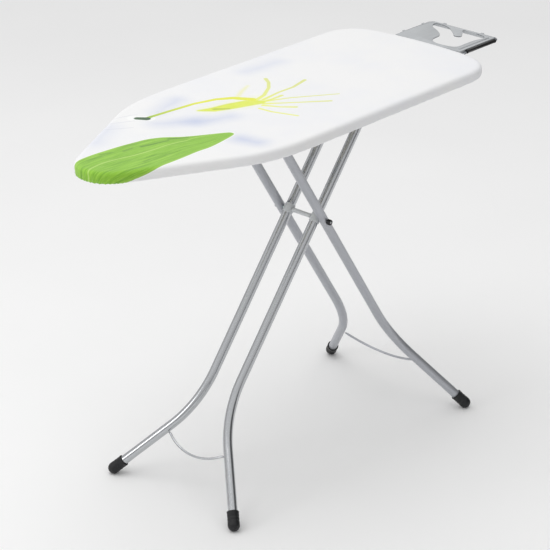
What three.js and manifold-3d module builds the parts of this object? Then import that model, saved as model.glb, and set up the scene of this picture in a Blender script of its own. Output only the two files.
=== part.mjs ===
// Ironing board: a padded top on a steel rim and mesh, two crossing leg frames that fold flat
// under it, a height catch with its lever, and an iron rest at the square end.
// Millimetres. +X runs from the nose to the iron rest, +Y to the far side, +Z up.
// The origin is on the floor, under the centre of the object's box.

import * as THREE from "three";
import { mergeVertices } from "three/addons/utils/BufferGeometryUtils.js";
import Module from "manifold-3d";

const wasm = await Module();
wasm.setup();

// ---------------------------------------------------------------- driving dimensions

const BOARD_HEIGHT = 890;        // floor to the top of the cover
const TOTAL_LENGTH = 1285;       // nose tip to the end of the iron rest
const REST_OVERHANG = 160;       // iron rest beyond the rear edge of the top
const HALF_WIDTH = 226;          // half the width of the padded top
const EDGE_DEPTH = 26;           // height of the padded edge
const CLEAR = 0.4;               // gap between pieces that touch

const COVER_SKIN = 1.2;
const PAD_DEPTH = 7;
const MESH_SKIN = 0.6;
const BRACE_SKIN = 2;
const RIM_EDGE = 3;              // rim inside the edge of the top
const RIM_WIDTH = 16;
const RIM_SKIN = 1.5;
const HEM_WIDTH = 45;

const TUBE_R = 11;               // leg tubes
const TUBE_WALL = 1.2;
const BAR_R = 6;                 // cross bars at the top of each frame
const BAR_CAP_R = 9;
const BOLT_R = 4;                // pivot bolt at the crossing
const SADDLE_WALL = 1.6;
const SADDLE_LENGTH = 22;
const SPACER_R = 6;
const STAY_R = 3;                // bowed wires above the feet
const TUBE_END = 10;             // tube beyond its cross bar
const FOOT_R = 14;               // rubber foot caps
const FOOT_LENGTH = 46;
const LEG_BEND = THREE.MathUtils.degToRad(34.7);
const LEG_BEND_R = 275;

const PIVOT_X = 38;              // where the two frames cross
const PIVOT_Z = 579.6;
const BAR_Z = 861.5;             // height of both cross bars
const FRONT_LEAN = THREE.MathUtils.degToRad(38.22);    // lean of each frame from upright
const REAR_LEAN = THREE.MathUtils.degToRad(-33.05);
const FRONT_SPACING = 41.5;      // half distance between the straight tubes
const REAR_SPACING = 67.5;
const FRONT_FOOT_SPREAD = 193;   // half distance between the feet
const REAR_FOOT_SPREAD = 219.5;
const FOLDED_ANGLE = THREE.MathUtils.degToRad(4.2);

const RAIL_Y = 85;               // the two rails under the mesh
const RAIL_SKIN = 2;
const RAIL_BOTTOM = 848;

const NOSE_X = -TOTAL_LENGTH / 2;
const REST_END_X = TOTAL_LENGTH / 2;
const REAR_X = REST_END_X - REST_OVERHANG;

const COVER_BOTTOM = BOARD_HEIGHT - EDGE_DEPTH;
const PAD_TOP = BOARD_HEIGHT - COVER_SKIN - CLEAR;
const PAD_BOTTOM = PAD_TOP - PAD_DEPTH;
const MESH_TOP = PAD_BOTTOM - CLEAR;
const MESH_BOTTOM = MESH_TOP - MESH_SKIN;
const UNDER_MESH = MESH_BOTTOM - CLEAR;
const UNDER_BRACE = UNDER_MESH - BRACE_SKIN - CLEAR;
const RIM_BOTTOM = COVER_BOTTOM + COVER_SKIN + CLEAR;

// Crossing to the fixed bar on the front-footed frame, and to the sliding bar on the other.
const FRONT_UPPER = (BAR_Z - PIVOT_Z) / Math.cos(FRONT_LEAN);
const REAR_UPPER = (BAR_Z - PIVOT_Z) / Math.cos(REAR_LEAN);
const FIXED_BAR_X = PIVOT_X + FRONT_UPPER * Math.sin(FRONT_LEAN);
const SLIDING_BAR_X = PIVOT_X + REAR_UPPER * Math.sin(REAR_LEAN);
const REAR_FOLDED = Math.asin((FRONT_UPPER * Math.sin(FOLDED_ANGLE)) / REAR_UPPER);
const FOLDED_REACH = FRONT_UPPER * Math.cos(FOLDED_ANGLE) + REAR_UPPER * Math.cos(REAR_FOLDED);
const FOLDED_BAR_X = FIXED_BAR_X - FOLDED_REACH;
const FRONT_LOWER = (PIVOT_Z - FOOT_R) / Math.cos(FRONT_LEAN);
const REAR_LOWER = (PIVOT_Z - FOOT_R) / Math.cos(REAR_LEAN);

// ---------------------------------------------------------------- materials

const finish = (color, roughness, metalness) => (
  new THREE.MeshStandardMaterial({ color, roughness, metalness })
);
const coverCotton = () => finish(0xefefee, 0.9, 0);
const foam = () => finish(0xe4dcc4, 0.95, 0);
const steelGrey = () => finish(0xaab0b3, 0.35, 0.7);
const zincSteel = () => finish(0xc3c6c8, 0.4, 0.9);
const restGrey = () => finish(0xb9bcbb, 0.45, 0.5);
const blackRubber = () => finish(0x16181c, 0.7, 0);
const greyPlastic = () => finish(0xc4c7c8, 0.55, 0);
const darkPlastic = () => finish(0x2a2c2f, 0.5, 0);

// ---------------------------------------------------------------- solids

// A closed manifold of a geometry's positions alone.
function solid(geometry, matrix = new THREE.Matrix4()) {
  const bare = geometry.clone();
  bare.deleteAttribute("normal");
  bare.deleteAttribute("uv");
  bare.applyMatrix4(matrix);
  const merged = mergeVertices(bare, 1e-3);
  return new wasm.Manifold(new wasm.Mesh({
    numProp: 3,
    vertProperties: new Float32Array(merged.attributes.position.array),
    triVerts: new Uint32Array(merged.index.array),
  }));
}

function geometryOf(manifold) {
  const mesh = manifold.getMesh();
  const geometry = new THREE.BufferGeometry();
  geometry.setAttribute("position", new THREE.BufferAttribute(new Float32Array(mesh.vertProperties), 3));
  geometry.setIndex(new THREE.BufferAttribute(new Uint32Array(mesh.triVerts), 1));
  geometry.computeVertexNormals();
  return geometry;
}

const at = (x, y, z) => new THREE.Matrix4().makeTranslation(x, y, z);
// Turns a lathe or cylinder, whose own axis is Y, to stand along Z or to lie along X.
const upright = (x, y, z) => new THREE.Matrix4().makeRotationX(Math.PI / 2).premultiply(at(x, y, z));
const lengthwise = (x, y, z) => new THREE.Matrix4().makeRotationZ(Math.PI / 2).premultiply(at(x, y, z));

function boxSolid(low, high) {
  const size = high.map((value, axis) => value - low[axis]);
  const middle = high.map((value, axis) => (value + low[axis]) / 2);
  return solid(new THREE.BoxGeometry(...size), at(...middle));
}

// A cylinder along Y, from y0 to y1.
function rodSolid(x, z, radius, y0, y1, sides = 20) {
  return solid(new THREE.CylinderGeometry(radius, radius, y1 - y0, sides), at(x, (y0 + y1) / 2, z));
}

// A flat shape pushed up from z0 to z1.
function slabSolid(shape, z0, z1) {
  return solid(new THREE.ExtrudeGeometry(shape, { depth: z1 - z0, bevelEnabled: false }), at(0, 0, z0));
}

// A shape drawn in X and Z, pushed along +Y from y0 to y1.
function plateSolid(shape, y0, y1) {
  const stand = new THREE.Matrix4().makeRotationX(Math.PI / 2).premultiply(at(0, y1, 0));
  return solid(new THREE.ExtrudeGeometry(shape, { depth: y1 - y0, bevelEnabled: false }), stand);
}

// Rectangle whose two corners at the x1 end are rounded.
function tongueShape(x0, y0, x1, y1, r) {
  const shape = new THREE.Shape();
  shape.moveTo(x0, y0);
  shape.lineTo(x1 - r, y0);
  shape.absarc(x1 - r, y0 + r, r, -Math.PI / 2, 0);
  shape.absarc(x1 - r, y1 - r, r, 0, Math.PI / 2);
  shape.lineTo(x0, y1);
  return shape;
}

function slot(x0, x1, z0, z1) {
  const r = (z1 - z0) / 2;
  const shape = new THREE.Shape();
  shape.absarc(x0, z0 + r, r, Math.PI / 2, 1.5 * Math.PI);
  shape.absarc(x1, z0 + r, r, -Math.PI / 2, Math.PI / 2);
  return shape;
}

// A path whose steps are the given stations, so a straight stretch takes one step.
class StationPath extends THREE.Curve {
  constructor(stations) {
    super();
    this.stations = stations;
  }
  getPoint(t, target = new THREE.Vector3()) {
    const place = t * (this.stations.length - 1);
    const step = Math.min(Math.floor(place), this.stations.length - 2);
    return target.lerpVectors(this.stations[step], this.stations[step + 1], place - step);
  }
  getPointAt(u, target) { return this.getPoint(u, target); }
  getTangentAt(u, target) { return this.getTangent(u, target); }
  getSpacedPoints(steps) { return this.getPoints(steps); }
}

function disc(radius, sides) {
  const turn = (i) => (2 * Math.PI * i) / sides;
  return Array.from({ length: sides }, (_, i) => (
    new THREE.Vector2(radius * Math.cos(turn(i)), radius * Math.sin(turn(i)))
  ));
}

function sweep(stations, radius, { sides = 16, bore = 0 } = {}) {
  const section = new THREE.Shape(disc(radius, sides));
  if (bore > 0) section.holes.push(new THREE.Path(disc(bore, sides).reverse()));
  return new THREE.ExtrudeGeometry(section, {
    steps: stations.length - 1,
    extrudePath: new StationPath(stations),
  });
}

function piece(name, shape, material) {
  const mesh = new THREE.Mesh(shape.isBufferGeometry ? shape : geometryOf(shape), material);
  mesh.name = name;
  return mesh;
}

// ---------------------------------------------------------------- the top

// Half outline of the top: blunt nose, straight taper, parallel sides, rounded rear corner.
function outlinePoints(inset) {
  const half = new THREE.Path();
  half.moveTo(NOSE_X, 0);
  half.bezierCurveTo(NOSE_X, 38, NOSE_X + 22, 58, NOSE_X + 52, 74);
  half.lineTo(NOSE_X + 270, 187);
  half.bezierCurveTo(NOSE_X + 325, 215, NOSE_X + 380, HALF_WIDTH, NOSE_X + 470, HALF_WIDTH);
  half.lineTo(REAR_X - 118, HALF_WIDTH);
  half.bezierCurveTo(REAR_X - 52, HALF_WIDTH, REAR_X - 20, 196, REAR_X - 10, 140);
  half.quadraticCurveTo(REAR_X, 80, REAR_X, 0);
  const upper = half.getPoints(9);
  const lower = upper.slice(1, -1).reverse().map((p) => new THREE.Vector2(p.x, -p.y));
  const loop = [...upper, ...lower];
  return loop.map((p, i) => {
    const before = loop[(i + loop.length - 1) % loop.length];
    const after = loop[(i + 1) % loop.length];
    const along = after.clone().sub(before).normalize();
    return new THREE.Vector2(p.x + along.y * inset, p.y - along.x * inset);
  });
}

const outline = (inset) => new THREE.Shape(outlinePoints(inset));

function makeCover() {
  const outer = slabSolid(outline(0), COVER_BOTTOM, BOARD_HEIGHT);
  const room = slabSolid(outline(COVER_SKIN), COVER_BOTTOM + COVER_SKIN, BOARD_HEIGHT - COVER_SKIN);
  const mouth = slabSolid(outline(HEM_WIDTH), COVER_BOTTOM - 1, COVER_BOTTOM + COVER_SKIN + 1);
  return piece("cover", outer.subtract(room).subtract(mouth), coverCotton());
}

function makePad() {
  return piece("foam_pad", slabSolid(outline(COVER_SKIN + CLEAR), PAD_BOTTOM, PAD_TOP), foam());
}

function makeMeshTop() {
  return piece("mesh_top", slabSolid(outline(4), MESH_BOTTOM, MESH_TOP), zincSteel());
}

// Folded steel channel all round the top, open towards the middle.
function makeRim() {
  const outer = slabSolid(outline(RIM_EDGE), RIM_BOTTOM, UNDER_MESH);
  const inner = slabSolid(outline(RIM_EDGE + RIM_WIDTH), RIM_BOTTOM - 1, UNDER_MESH + 1);
  const channel = slabSolid(outline(RIM_EDGE + RIM_SKIN), RIM_BOTTOM + RIM_SKIN, UNDER_MESH - RIM_SKIN);
  return piece("board_rim", outer.subtract(inner).subtract(channel), steelGrey());
}

// ---------------------------------------------------------------- rails and catch

const LEVER_X = SLIDING_BAR_X + 70;
const RAIL_START = FOLDED_BAR_X - 30;
const RAIL_END = FIXED_BAR_X + 80;
const NOSE_BRACE_X = RAIL_START + 60;
const REAR_BRACE_X = RAIL_END - 40;
const BAR_LIFT = 4;              // room for the sliding bar, which rises a little halfway through the fold

function makeRail(name, side) {
  const face = side * RAIL_Y;
  const web = boxSolid(
    [RAIL_START, face - RAIL_SKIN / 2, RAIL_BOTTOM],
    [RAIL_END, face + RAIL_SKIN / 2, UNDER_BRACE],
  );
  const flangeReach = [face, face + side * 16].sort((a, b) => a - b);
  const flange = boxSolid(
    [RAIL_START, flangeReach[0], UNDER_BRACE - RAIL_SKIN],
    [RAIL_END, flangeReach[1], UNDER_BRACE],
  );
  const track = plateSolid(
    slot(FOLDED_BAR_X, SLIDING_BAR_X, BAR_Z - BAR_R - 0.6, BAR_Z + BAR_R + BAR_LIFT),
    face - 5, face + 5,
  );
  const eye = rodSolid(FIXED_BAR_X, BAR_Z, BAR_R + CLEAR, face - 5, face + 5);
  return piece(name, web.add(flange).subtract(track).subtract(eye), zincSteel());
}

// Flat strip across the inside of the rim, that the rails hang from.
function makeBrace(name, x, width) {
  const strip = boxSolid(
    [x - width / 2, -HALF_WIDTH, UNDER_MESH - BRACE_SKIN],
    [x + width / 2, HALF_WIDTH, UNDER_MESH],
  );
  const insideRim = slabSolid(outline(RIM_EDGE + RIM_WIDTH + CLEAR), RIM_BOTTOM, UNDER_MESH + 1);
  return piece(name, strip.intersect(insideRim), zincSteel());
}

// Toothed strip above the sliding bar's path: one notch for each height.
function makeRack() {
  const start = NOSE_BRACE_X - 12;
  const end = LEVER_X + 12;
  const pitch = 24;
  const tip = BAR_Z + BAR_R + BAR_LIFT + 0.4;
  const root = tip + 3.4;
  const comb = new THREE.Shape();
  comb.moveTo(start, UNDER_BRACE);
  comb.lineTo(start, tip);
  for (let x = start + pitch / 2; x < end - pitch / 2; x += pitch) {
    comb.lineTo(x - 7, tip);
    comb.lineTo(x - 6, root);
    comb.lineTo(x + 2, root);
    comb.lineTo(x + 7, tip);
  }
  comb.lineTo(end, tip);
  comb.lineTo(end, UNDER_BRACE);
  return piece("height_rack", plateSolid(comb, -7, 7), zincSteel());
}

// ---------------------------------------------------------------- release lever

const LEVER_Y = 128;
const LEVER_Z = 858;
const LEVER_PIN_R = 3;

const leverPinHole = (length, radius) => (
  solid(new THREE.CylinderGeometry(radius, radius, length, 20), lengthwise(LEVER_X, LEVER_Y, LEVER_Z))
);

function makeLeverBracket() {
  const cheek = (x) => boxSolid([x - 1, LEVER_Y - 13, LEVER_Z - 8], [x + 1, LEVER_Y + 13, UNDER_BRACE]);
  const bridge = boxSolid(
    [LEVER_X - 17, LEVER_Y - 13, UNDER_BRACE - 2],
    [LEVER_X + 17, LEVER_Y + 13, UNDER_BRACE],
  );
  const eye = leverPinHole(60, LEVER_PIN_R + CLEAR);
  const bracket = bridge.add(cheek(LEVER_X - 16)).add(cheek(LEVER_X + 16)).subtract(eye);
  return piece("lever_bracket", bracket, zincSteel());
}

function makeLeverPin() {
  const pin = new THREE.Mesh(new THREE.CylinderGeometry(LEVER_PIN_R, LEVER_PIN_R, 44, 16), zincSteel());
  pin.name = "lever_pin";
  pin.rotation.z = Math.PI / 2;
  pin.position.set(LEVER_X, LEVER_Y, LEVER_Z);
  return pin;
}

// Profile in Y and Z, drawn from the catch end, over the pin, out to the grip.
function makeLever() {
  const profile = new THREE.Shape();
  profile.moveTo(-30, -13);
  profile.lineTo(-6, -7);
  profile.lineTo(8, -8);
  profile.lineTo(78, -16);
  profile.lineTo(78, -12);
  profile.lineTo(10, -3);
  profile.absarc(0, 0, 7, -0.4, Math.PI - 0.2, false);
  profile.lineTo(-30, -9);
  const width = 26;
  const stand = new THREE.Matrix4()
    .makeBasis(new THREE.Vector3(0, 1, 0), new THREE.Vector3(0, 0, 1), new THREE.Vector3(1, 0, 0))
    .premultiply(at(LEVER_X - width / 2, LEVER_Y, LEVER_Z));
  const body = solid(new THREE.ExtrudeGeometry(profile, { depth: width, bevelEnabled: false }), stand);
  const eye = leverPinHole(60, LEVER_PIN_R + CLEAR);
  const springRoom = leverPinHole(12, 9);
  return piece("release_lever", body.subtract(eye).subtract(springRoom), zincSteel());
}

// Return spring: a few turns of wire round the pin.
function makeLeverSpring() {
  const turns = 4;
  const stepsPerTurn = 10;
  const coilR = 5;
  const wireR = 0.7;
  const length = 9;
  const stations = [];
  for (let i = 0; i <= turns * stepsPerTurn; i++) {
    const angle = (2 * Math.PI * i) / stepsPerTurn;
    stations.push(new THREE.Vector3(
      LEVER_X - length / 2 + (length * i) / (turns * stepsPerTurn),
      LEVER_Y + coilR * Math.cos(angle),
      LEVER_Z + coilR * Math.sin(angle),
    ));
  }
  return piece("lever_spring", sweep(stations, wireR, { sides: 6 }), zincSteel());
}

// Plastic sleeve pushed over the lever's end.
function makeLeverGrip() {
  const sleeve = boxSolid(
    [LEVER_X - 17, LEVER_Y + 40, LEVER_Z - 20.5],
    [LEVER_X + 17, LEVER_Y + 84, LEVER_Z - 2],
  );
  const tongue = new THREE.Shape();
  tongue.moveTo(8, -8.5);
  tongue.lineTo(78.5, -16.6);
  tongue.lineTo(78.5, -11.3);
  tongue.lineTo(8, -2.4);
  const width = 27;
  const stand = new THREE.Matrix4()
    .makeBasis(new THREE.Vector3(0, 1, 0), new THREE.Vector3(0, 0, 1), new THREE.Vector3(1, 0, 0))
    .premultiply(at(LEVER_X - width / 2, LEVER_Y, LEVER_Z));
  const pocket = solid(new THREE.ExtrudeGeometry(tongue, { depth: width, bevelEnabled: false }), stand);
  return piece("lever_grip", sleeve.subtract(pocket), darkPlastic());
}

// ---------------------------------------------------------------- leg frames

// Frames are made about the crossing: z along the tubes, positive towards the top.
function legStations(side, spacing, spread, lower, upper) {
  const bendSide = LEG_BEND_R * (1 - Math.cos(LEG_BEND));
  const bendRise = LEG_BEND_R * Math.sin(LEG_BEND);
  const splayRise = (spread - spacing - bendSide) / Math.tan(LEG_BEND);
  const bendStart = -lower + splayRise + bendRise;
  const bendSteps = 8;
  const stations = [];
  const tubeEnd = 8;
  const endSpread = spread - tubeEnd * Math.sin(LEG_BEND);
  stations.push(new THREE.Vector3(0, side * endSpread, -lower + tubeEnd * Math.cos(LEG_BEND)));
  for (let i = bendSteps; i >= 0; i--) {
    const angle = (LEG_BEND * i) / bendSteps;
    const out = spacing + LEG_BEND_R * (1 - Math.cos(angle));
    stations.push(new THREE.Vector3(0, side * out, bendStart - LEG_BEND_R * Math.sin(angle)));
  }
  stations.push(new THREE.Vector3(0, side * spacing, 0));
  stations.push(new THREE.Vector3(0, side * spacing, upper + TUBE_END));
  return stations;
}

function makeLeg(name, side, frame) {
  const tube = solid(sweep(
    legStations(side, frame.spacing, frame.spread, frame.lower, frame.upper),
    TUBE_R, { bore: TUBE_R - TUBE_WALL },
  ));
  const y = side * frame.spacing;
  const barHole = rodSolid(0, frame.upper, BAR_R + CLEAR, y - 15, y + 15);
  const boltHole = rodSolid(0, 0, BOLT_R + CLEAR, y - 15, y + 15);
  return piece(name, tube.subtract(barHole).subtract(boltHole), steelGrey());
}

// Plastic plug with a low dome, in the open top of a tube.
function makePlug(name, side, frame) {
  const top = frame.upper + TUBE_END;
  const shankR = TUBE_R - TUBE_WALL - CLEAR;
  const profile = [[0, -2.6], [shankR, -2.6], [shankR, CLEAR], [TUBE_R - 0.3, CLEAR], [TUBE_R - 1, 1.6],
    [TUBE_R - 4, 2.4], [0, 2.8]].map((p) => new THREE.Vector2(...p));
  const plug = new THREE.Mesh(new THREE.LatheGeometry(profile, 20), darkPlastic());
  plug.name = name;
  plug.rotation.x = Math.PI / 2;
  plug.position.set(0, side * frame.spacing, top);
  return plug;
}

// Rubber cap: a sleeve on the tube's end with a ball-shaped sole.
function makeFoot(name, side, frame) {
  const profile = [];
  const soleSteps = 7;
  for (let i = 0; i <= soleSteps; i++) {
    const angle = (Math.PI / 2) * (i / soleSteps);
    profile.push(new THREE.Vector2(FOOT_R * Math.sin(angle), -FOOT_R * Math.cos(angle)));
  }
  const mouth = FOOT_LENGTH - FOOT_R;
  profile.push(new THREE.Vector2(FOOT_R - 0.5, mouth - 1.5));
  profile.push(new THREE.Vector2(FOOT_R - 1.5, mouth));
  profile.push(new THREE.Vector2(TUBE_R + CLEAR, mouth));
  profile.push(new THREE.Vector2(TUBE_R + CLEAR, 7));
  profile.push(new THREE.Vector2(0, 7));
  profile[0].x = 0;
  const foot = new THREE.Mesh(new THREE.LatheGeometry(profile, 20), blackRubber());
  foot.name = name;
  foot.rotation.x = Math.PI / 2 + side * LEG_BEND;
  foot.position.set(0, side * frame.spread, -frame.lower);
  return foot;
}

function makeBar(name, frame, reach) {
  return piece(name, rodSolid(0, frame.upper, BAR_R, -reach, reach), zincSteel());
}

// Plastic button pushed on the end of a cross bar, outside the rail.
function makeBarCap(name, side, frame, barEnd) {
  const span = (from, to) => [side * from, side * to].sort((a, b) => a - b);
  const body = rodSolid(0, frame.upper, BAR_CAP_R, ...span(barEnd - 6, barEnd + 3));
  const socket = rodSolid(0, frame.upper, BAR_R + CLEAR, ...span(barEnd - 7, barEnd + CLEAR));
  return piece(name, body.subtract(socket), darkPlastic());
}

// Bowed wire between the legs of a frame, just above the feet.
function makeStay(name, frame) {
  const bowSteps = 14;
  const half = frame.stayHalf;
  const sag = frame.staySag;
  const radius = (half * half + sag * sag) / (2 * sag);
  const sweepAngle = Math.asin(half / radius);
  const stations = [];
  for (let i = 0; i <= bowSteps; i++) {
    const angle = -sweepAngle + (2 * sweepAngle * i) / bowSteps;
    const drop = radius * (Math.cos(angle) - Math.cos(sweepAngle));
    stations.push(new THREE.Vector3(0, radius * Math.sin(angle), frame.stayZ - drop));
  }
  return piece(name, sweep(stations, STAY_R, { sides: 10 }), steelGrey());
}

const STAY_CLEAR = TUBE_R / Math.cos(LEG_BEND) + 2.5;

// Distance of the splayed part of a leg from the middle, at a height above the foot's centre.
const splayAt = (frame, rise) => frame.spread - rise * Math.tan(LEG_BEND);

const frontFrame = {
  spacing: FRONT_SPACING, spread: FRONT_FOOT_SPREAD, lower: FRONT_LOWER, upper: FRONT_UPPER,
};
const rearFrame = {
  spacing: REAR_SPACING, spread: REAR_FOOT_SPREAD, lower: REAR_LOWER, upper: REAR_UPPER,
};
for (const frame of [frontFrame, rearFrame]) {
  const rise = 131;
  frame.stayZ = -frame.lower + rise;
  frame.stayHalf = splayAt(frame, rise) - STAY_CLEAR;
  frame.staySag = 29;
}

// Short tube round the bolt between the two inner legs.
function makeSpacer() {
  const reach = FRONT_SPACING - TUBE_R - SADDLE_WALL - CLEAR;
  const ring = rodSolid(0, 0, SPACER_R, -reach, reach, 24);
  const bore = rodSolid(0, 0, BOLT_R + CLEAR, -reach - 1, reach + 1, 24);
  return piece("pivot_spacer", ring.subtract(bore), greyPlastic());
}

// Plastic half-shell that hugs an inner leg at the crossing.
function makeSaddle(name, side) {
  const y = side * FRONT_SPACING;
  const shellR = TUBE_R + SADDLE_WALL;
  const shell = solid(new THREE.CylinderGeometry(shellR, shellR, SADDLE_LENGTH, 24), upright(0, y, 0));
  const tube = solid(new THREE.CylinderGeometry(TUBE_R + CLEAR, TUBE_R + CLEAR, 60, 24), upright(0, y, 0));
  const outerSide = side * (FRONT_SPACING + TUBE_R + 1);
  const [trimFrom, trimTo] = [outerSide, outerSide + side * 20].sort((a, b) => a - b);
  const trim = boxSolid([-30, trimFrom, -40], [30, trimTo, 40]);
  const boltHole = rodSolid(0, 0, BOLT_R + CLEAR, y - 20, y + 20);
  return piece(name, shell.subtract(tube).subtract(trim).subtract(boltHole), greyPlastic());
}

const BOLT_END = REAR_SPACING + TUBE_R + 7;
const BOLT_HEAD_R = 7;
const BOLT_HEAD_DEPTH = 2.4;

// Bolt through all four tubes, with its flat head at the far side.
function makeBolt() {
  const headFrom = REAR_SPACING + TUBE_R + CLEAR;
  const shank = rodSolid(0, 0, BOLT_R, -BOLT_END, headFrom + 1);
  const head = rodSolid(0, 0, BOLT_HEAD_R, headFrom, headFrom + BOLT_HEAD_DEPTH, 24);
  return piece("pivot_bolt", shank.add(head), zincSteel());
}

// Rubber button over the nut at the near side.
function makeBoltCap() {
  const from = REAR_SPACING + TUBE_R + CLEAR;
  const button = rodSolid(0, 0, 6.8, -BOLT_END - 3, -from);
  const inside = rodSolid(0, 0, BOLT_R + CLEAR, -BOLT_END - CLEAR, -from + 1);
  return piece("pivot_cap", button.subtract(inside), blackRubber());
}

function frontLegs() {
  const group = new THREE.Group();
  group.position.set(PIVOT_X, 0, PIVOT_Z);
  group.rotation.y = FRONT_LEAN;
  group.add(
    makeLeg("front_leg_near", -1, frontFrame),
    makeLeg("front_leg_far", 1, frontFrame),
    makeFoot("front_foot_near", -1, frontFrame),
    makeFoot("front_foot_far", 1, frontFrame),
    makePlug("front_plug_near", -1, frontFrame),
    makePlug("front_plug_far", 1, frontFrame),
    makeStay("front_stay", frontFrame),
    makeBar("front_cross_bar", frontFrame, RAIL_Y + 9),
    makeBarCap("front_bar_cap_near", -1, frontFrame, RAIL_Y + 9),
    makeBarCap("front_bar_cap_far", 1, frontFrame, RAIL_Y + 9),
    makeSpacer(),
    makeSaddle("pivot_saddle_near", -1),
    makeSaddle("pivot_saddle_far", 1),
  );
  return group;
}

function rearLegs() {
  const group = new THREE.Group();
  group.position.set(PIVOT_X, 0, PIVOT_Z);
  group.rotation.y = REAR_LEAN;
  group.add(
    makeLeg("rear_leg_near", -1, rearFrame),
    makeLeg("rear_leg_far", 1, rearFrame),
    makeFoot("rear_foot_near", -1, rearFrame),
    makeFoot("rear_foot_far", 1, rearFrame),
    makePlug("rear_plug_near", -1, rearFrame),
    makePlug("rear_plug_far", 1, rearFrame),
    makeStay("rear_stay", rearFrame),
    makeBar("sliding_bar", rearFrame, RAIL_Y + 9),
    makeBarCap("sliding_cap_near", -1, rearFrame, RAIL_Y + 9),
    makeBarCap("sliding_cap_far", 1, rearFrame, RAIL_Y + 9),
    makeBolt(),
    makeBoltCap(),
  );
  return group;
}

// ---------------------------------------------------------------- iron rest

const REST_TOP = 882.5;
const REST_HALF = 98;
const REST_START_X = REAR_X + 8;
const REST_PLATE_END = REST_END_X - 8;
const REST_WIRE_R = 3;
const REST_WIRE_Y = REST_HALF + 5;
const REST_SLEEVE_R = 4.8;
const REST_CORNER = 14;
const REST_SCREW_X = REAR_X - 74;
const REST_SCREW_Y = REST_WIRE_Y - 8.5;
const REST_SCREW_R = 2;
const REST_FOLD = 10;            // depth of the plate's folded edge
const REST_SKIN = 1.5;
const REST_WIRE_Z = REST_TOP - REST_SKIN - REST_WIRE_R - CLEAR;
const REST_WIRE_LOW = COVER_BOTTOM - REST_WIRE_R - 1;

// Smooth stamped opening with one tongue of metal left in it.
// Points run from the far rear lobe round the tongue, the near side and back along the far side.
function restOpening() {
  const points = [
    [-18, 80], [-14, 60], [-24, 32], [-46, 4], [-64, -16], [-58, -29], [-36, -18], [-16, -6],
    [-14, -40], [-18, -66], [-27, -79], [-60, -73], [-92, -72], [-128, -70], [-137, -50],
    [-135, -8], [-118, 9], [-84, 15], [-62, 38], [-40, 72],
  ].map(([x, y]) => new THREE.Vector3(REST_END_X + x, y, 0));
  const curve = new THREE.CatmullRomCurve3(points, true, "centripetal");
  return new THREE.Shape(curve.getPoints(72).slice(0, -1).map((p) => new THREE.Vector2(p.x, p.y)));
}

// Small ears of the plate lie over the wire at the far side and the rear.
function makeRestPlate() {
  const skin = REST_SKIN;
  const earX = [REST_START_X + 34, REST_PLATE_END - 34];
  const earY = [-58, 58];
  const earWidth = 8;
  const earLow = REST_TOP - skin;
  const cornerR = REST_CORNER - 4;
  const sheet = tongueShape(REST_START_X, -REST_HALF, REST_PLATE_END, REST_HALF, cornerR);
  const block = slabSolid(sheet, REST_TOP - REST_FOLD, REST_TOP);
  const room = slabSolid(
    tongueShape(
      REST_START_X + skin, -REST_HALF + skin, REST_PLATE_END - skin, REST_HALF - skin, cornerR - skin,
    ),
    REST_TOP - REST_FOLD - 1, REST_TOP - skin,
  );
  const opening = slabSolid(restOpening(), REST_TOP - REST_FOLD - 2, REST_TOP + 2);
  let plate = block.subtract(room).subtract(opening);
  for (const x of earX) {
    const ear = boxSolid([x, REST_HALF - 1, earLow], [x + earWidth, REST_WIRE_Y + 2, REST_TOP]);
    plate = plate.add(ear);
  }
  for (const y of earY) {
    const earEnd = REST_END_X - REST_WIRE_R + 2;
    plate = plate.add(boxSolid([REST_PLATE_END - 1, y, earLow], [earEnd, y + earWidth, REST_TOP]));
  }
  return piece("rest_plate", plate, restGrey());
}

// Bent wire round the plate, from one bracket to the other.
function makeRestWire() {
  const start = REST_SCREW_X - 12;
  const end = REST_END_X - REST_WIRE_R;
  const corner = REST_CORNER;
  const steps = 5;
  const rise = [[start, REST_WIRE_LOW], [REAR_X + 1, REST_WIRE_LOW], [REAR_X + 8, REST_WIRE_LOW + 2],
    [REAR_X + 20, REST_WIRE_Z - 2], [REAR_X + 27, REST_WIRE_Z]];
  const stations = rise.map(([x, z]) => new THREE.Vector3(x, -REST_WIRE_Y, z));
  for (const side of [-1, 1]) {
    for (let i = 0; i <= steps; i++) {
      const turn = (Math.PI / 2) * (side < 0 ? i / steps : 1 - i / steps);
      stations.push(new THREE.Vector3(
        end - corner + corner * Math.sin(turn),
        side * (REST_WIRE_Y - corner + corner * Math.cos(turn)),
        REST_WIRE_Z,
      ));
    }
  }
  stations.push(...rise.reverse().map(([x, z]) => new THREE.Vector3(x, REST_WIRE_Y, z)));
  return piece("rest_wire", sweep(stations, REST_WIRE_R, { sides: 12 }), zincSteel());
}

// Silicone sleeve on the wire along the near side.
function makeRestSleeve() {
  const from = REAR_X + 29;
  const to = REST_END_X - REST_CORNER - 4;
  const place = lengthwise((from + to) / 2, -REST_WIRE_Y, REST_WIRE_Z);
  const sleeve = solid(new THREE.CylinderGeometry(REST_SLEEVE_R, REST_SLEEVE_R, to - from, 20), place);
  const bore = solid(new THREE.CylinderGeometry(REST_WIRE_R + CLEAR, REST_WIRE_R + CLEAR, 200, 20), place);
  return piece("rest_sleeve", sleeve.subtract(bore), blackRubber());
}

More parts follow.
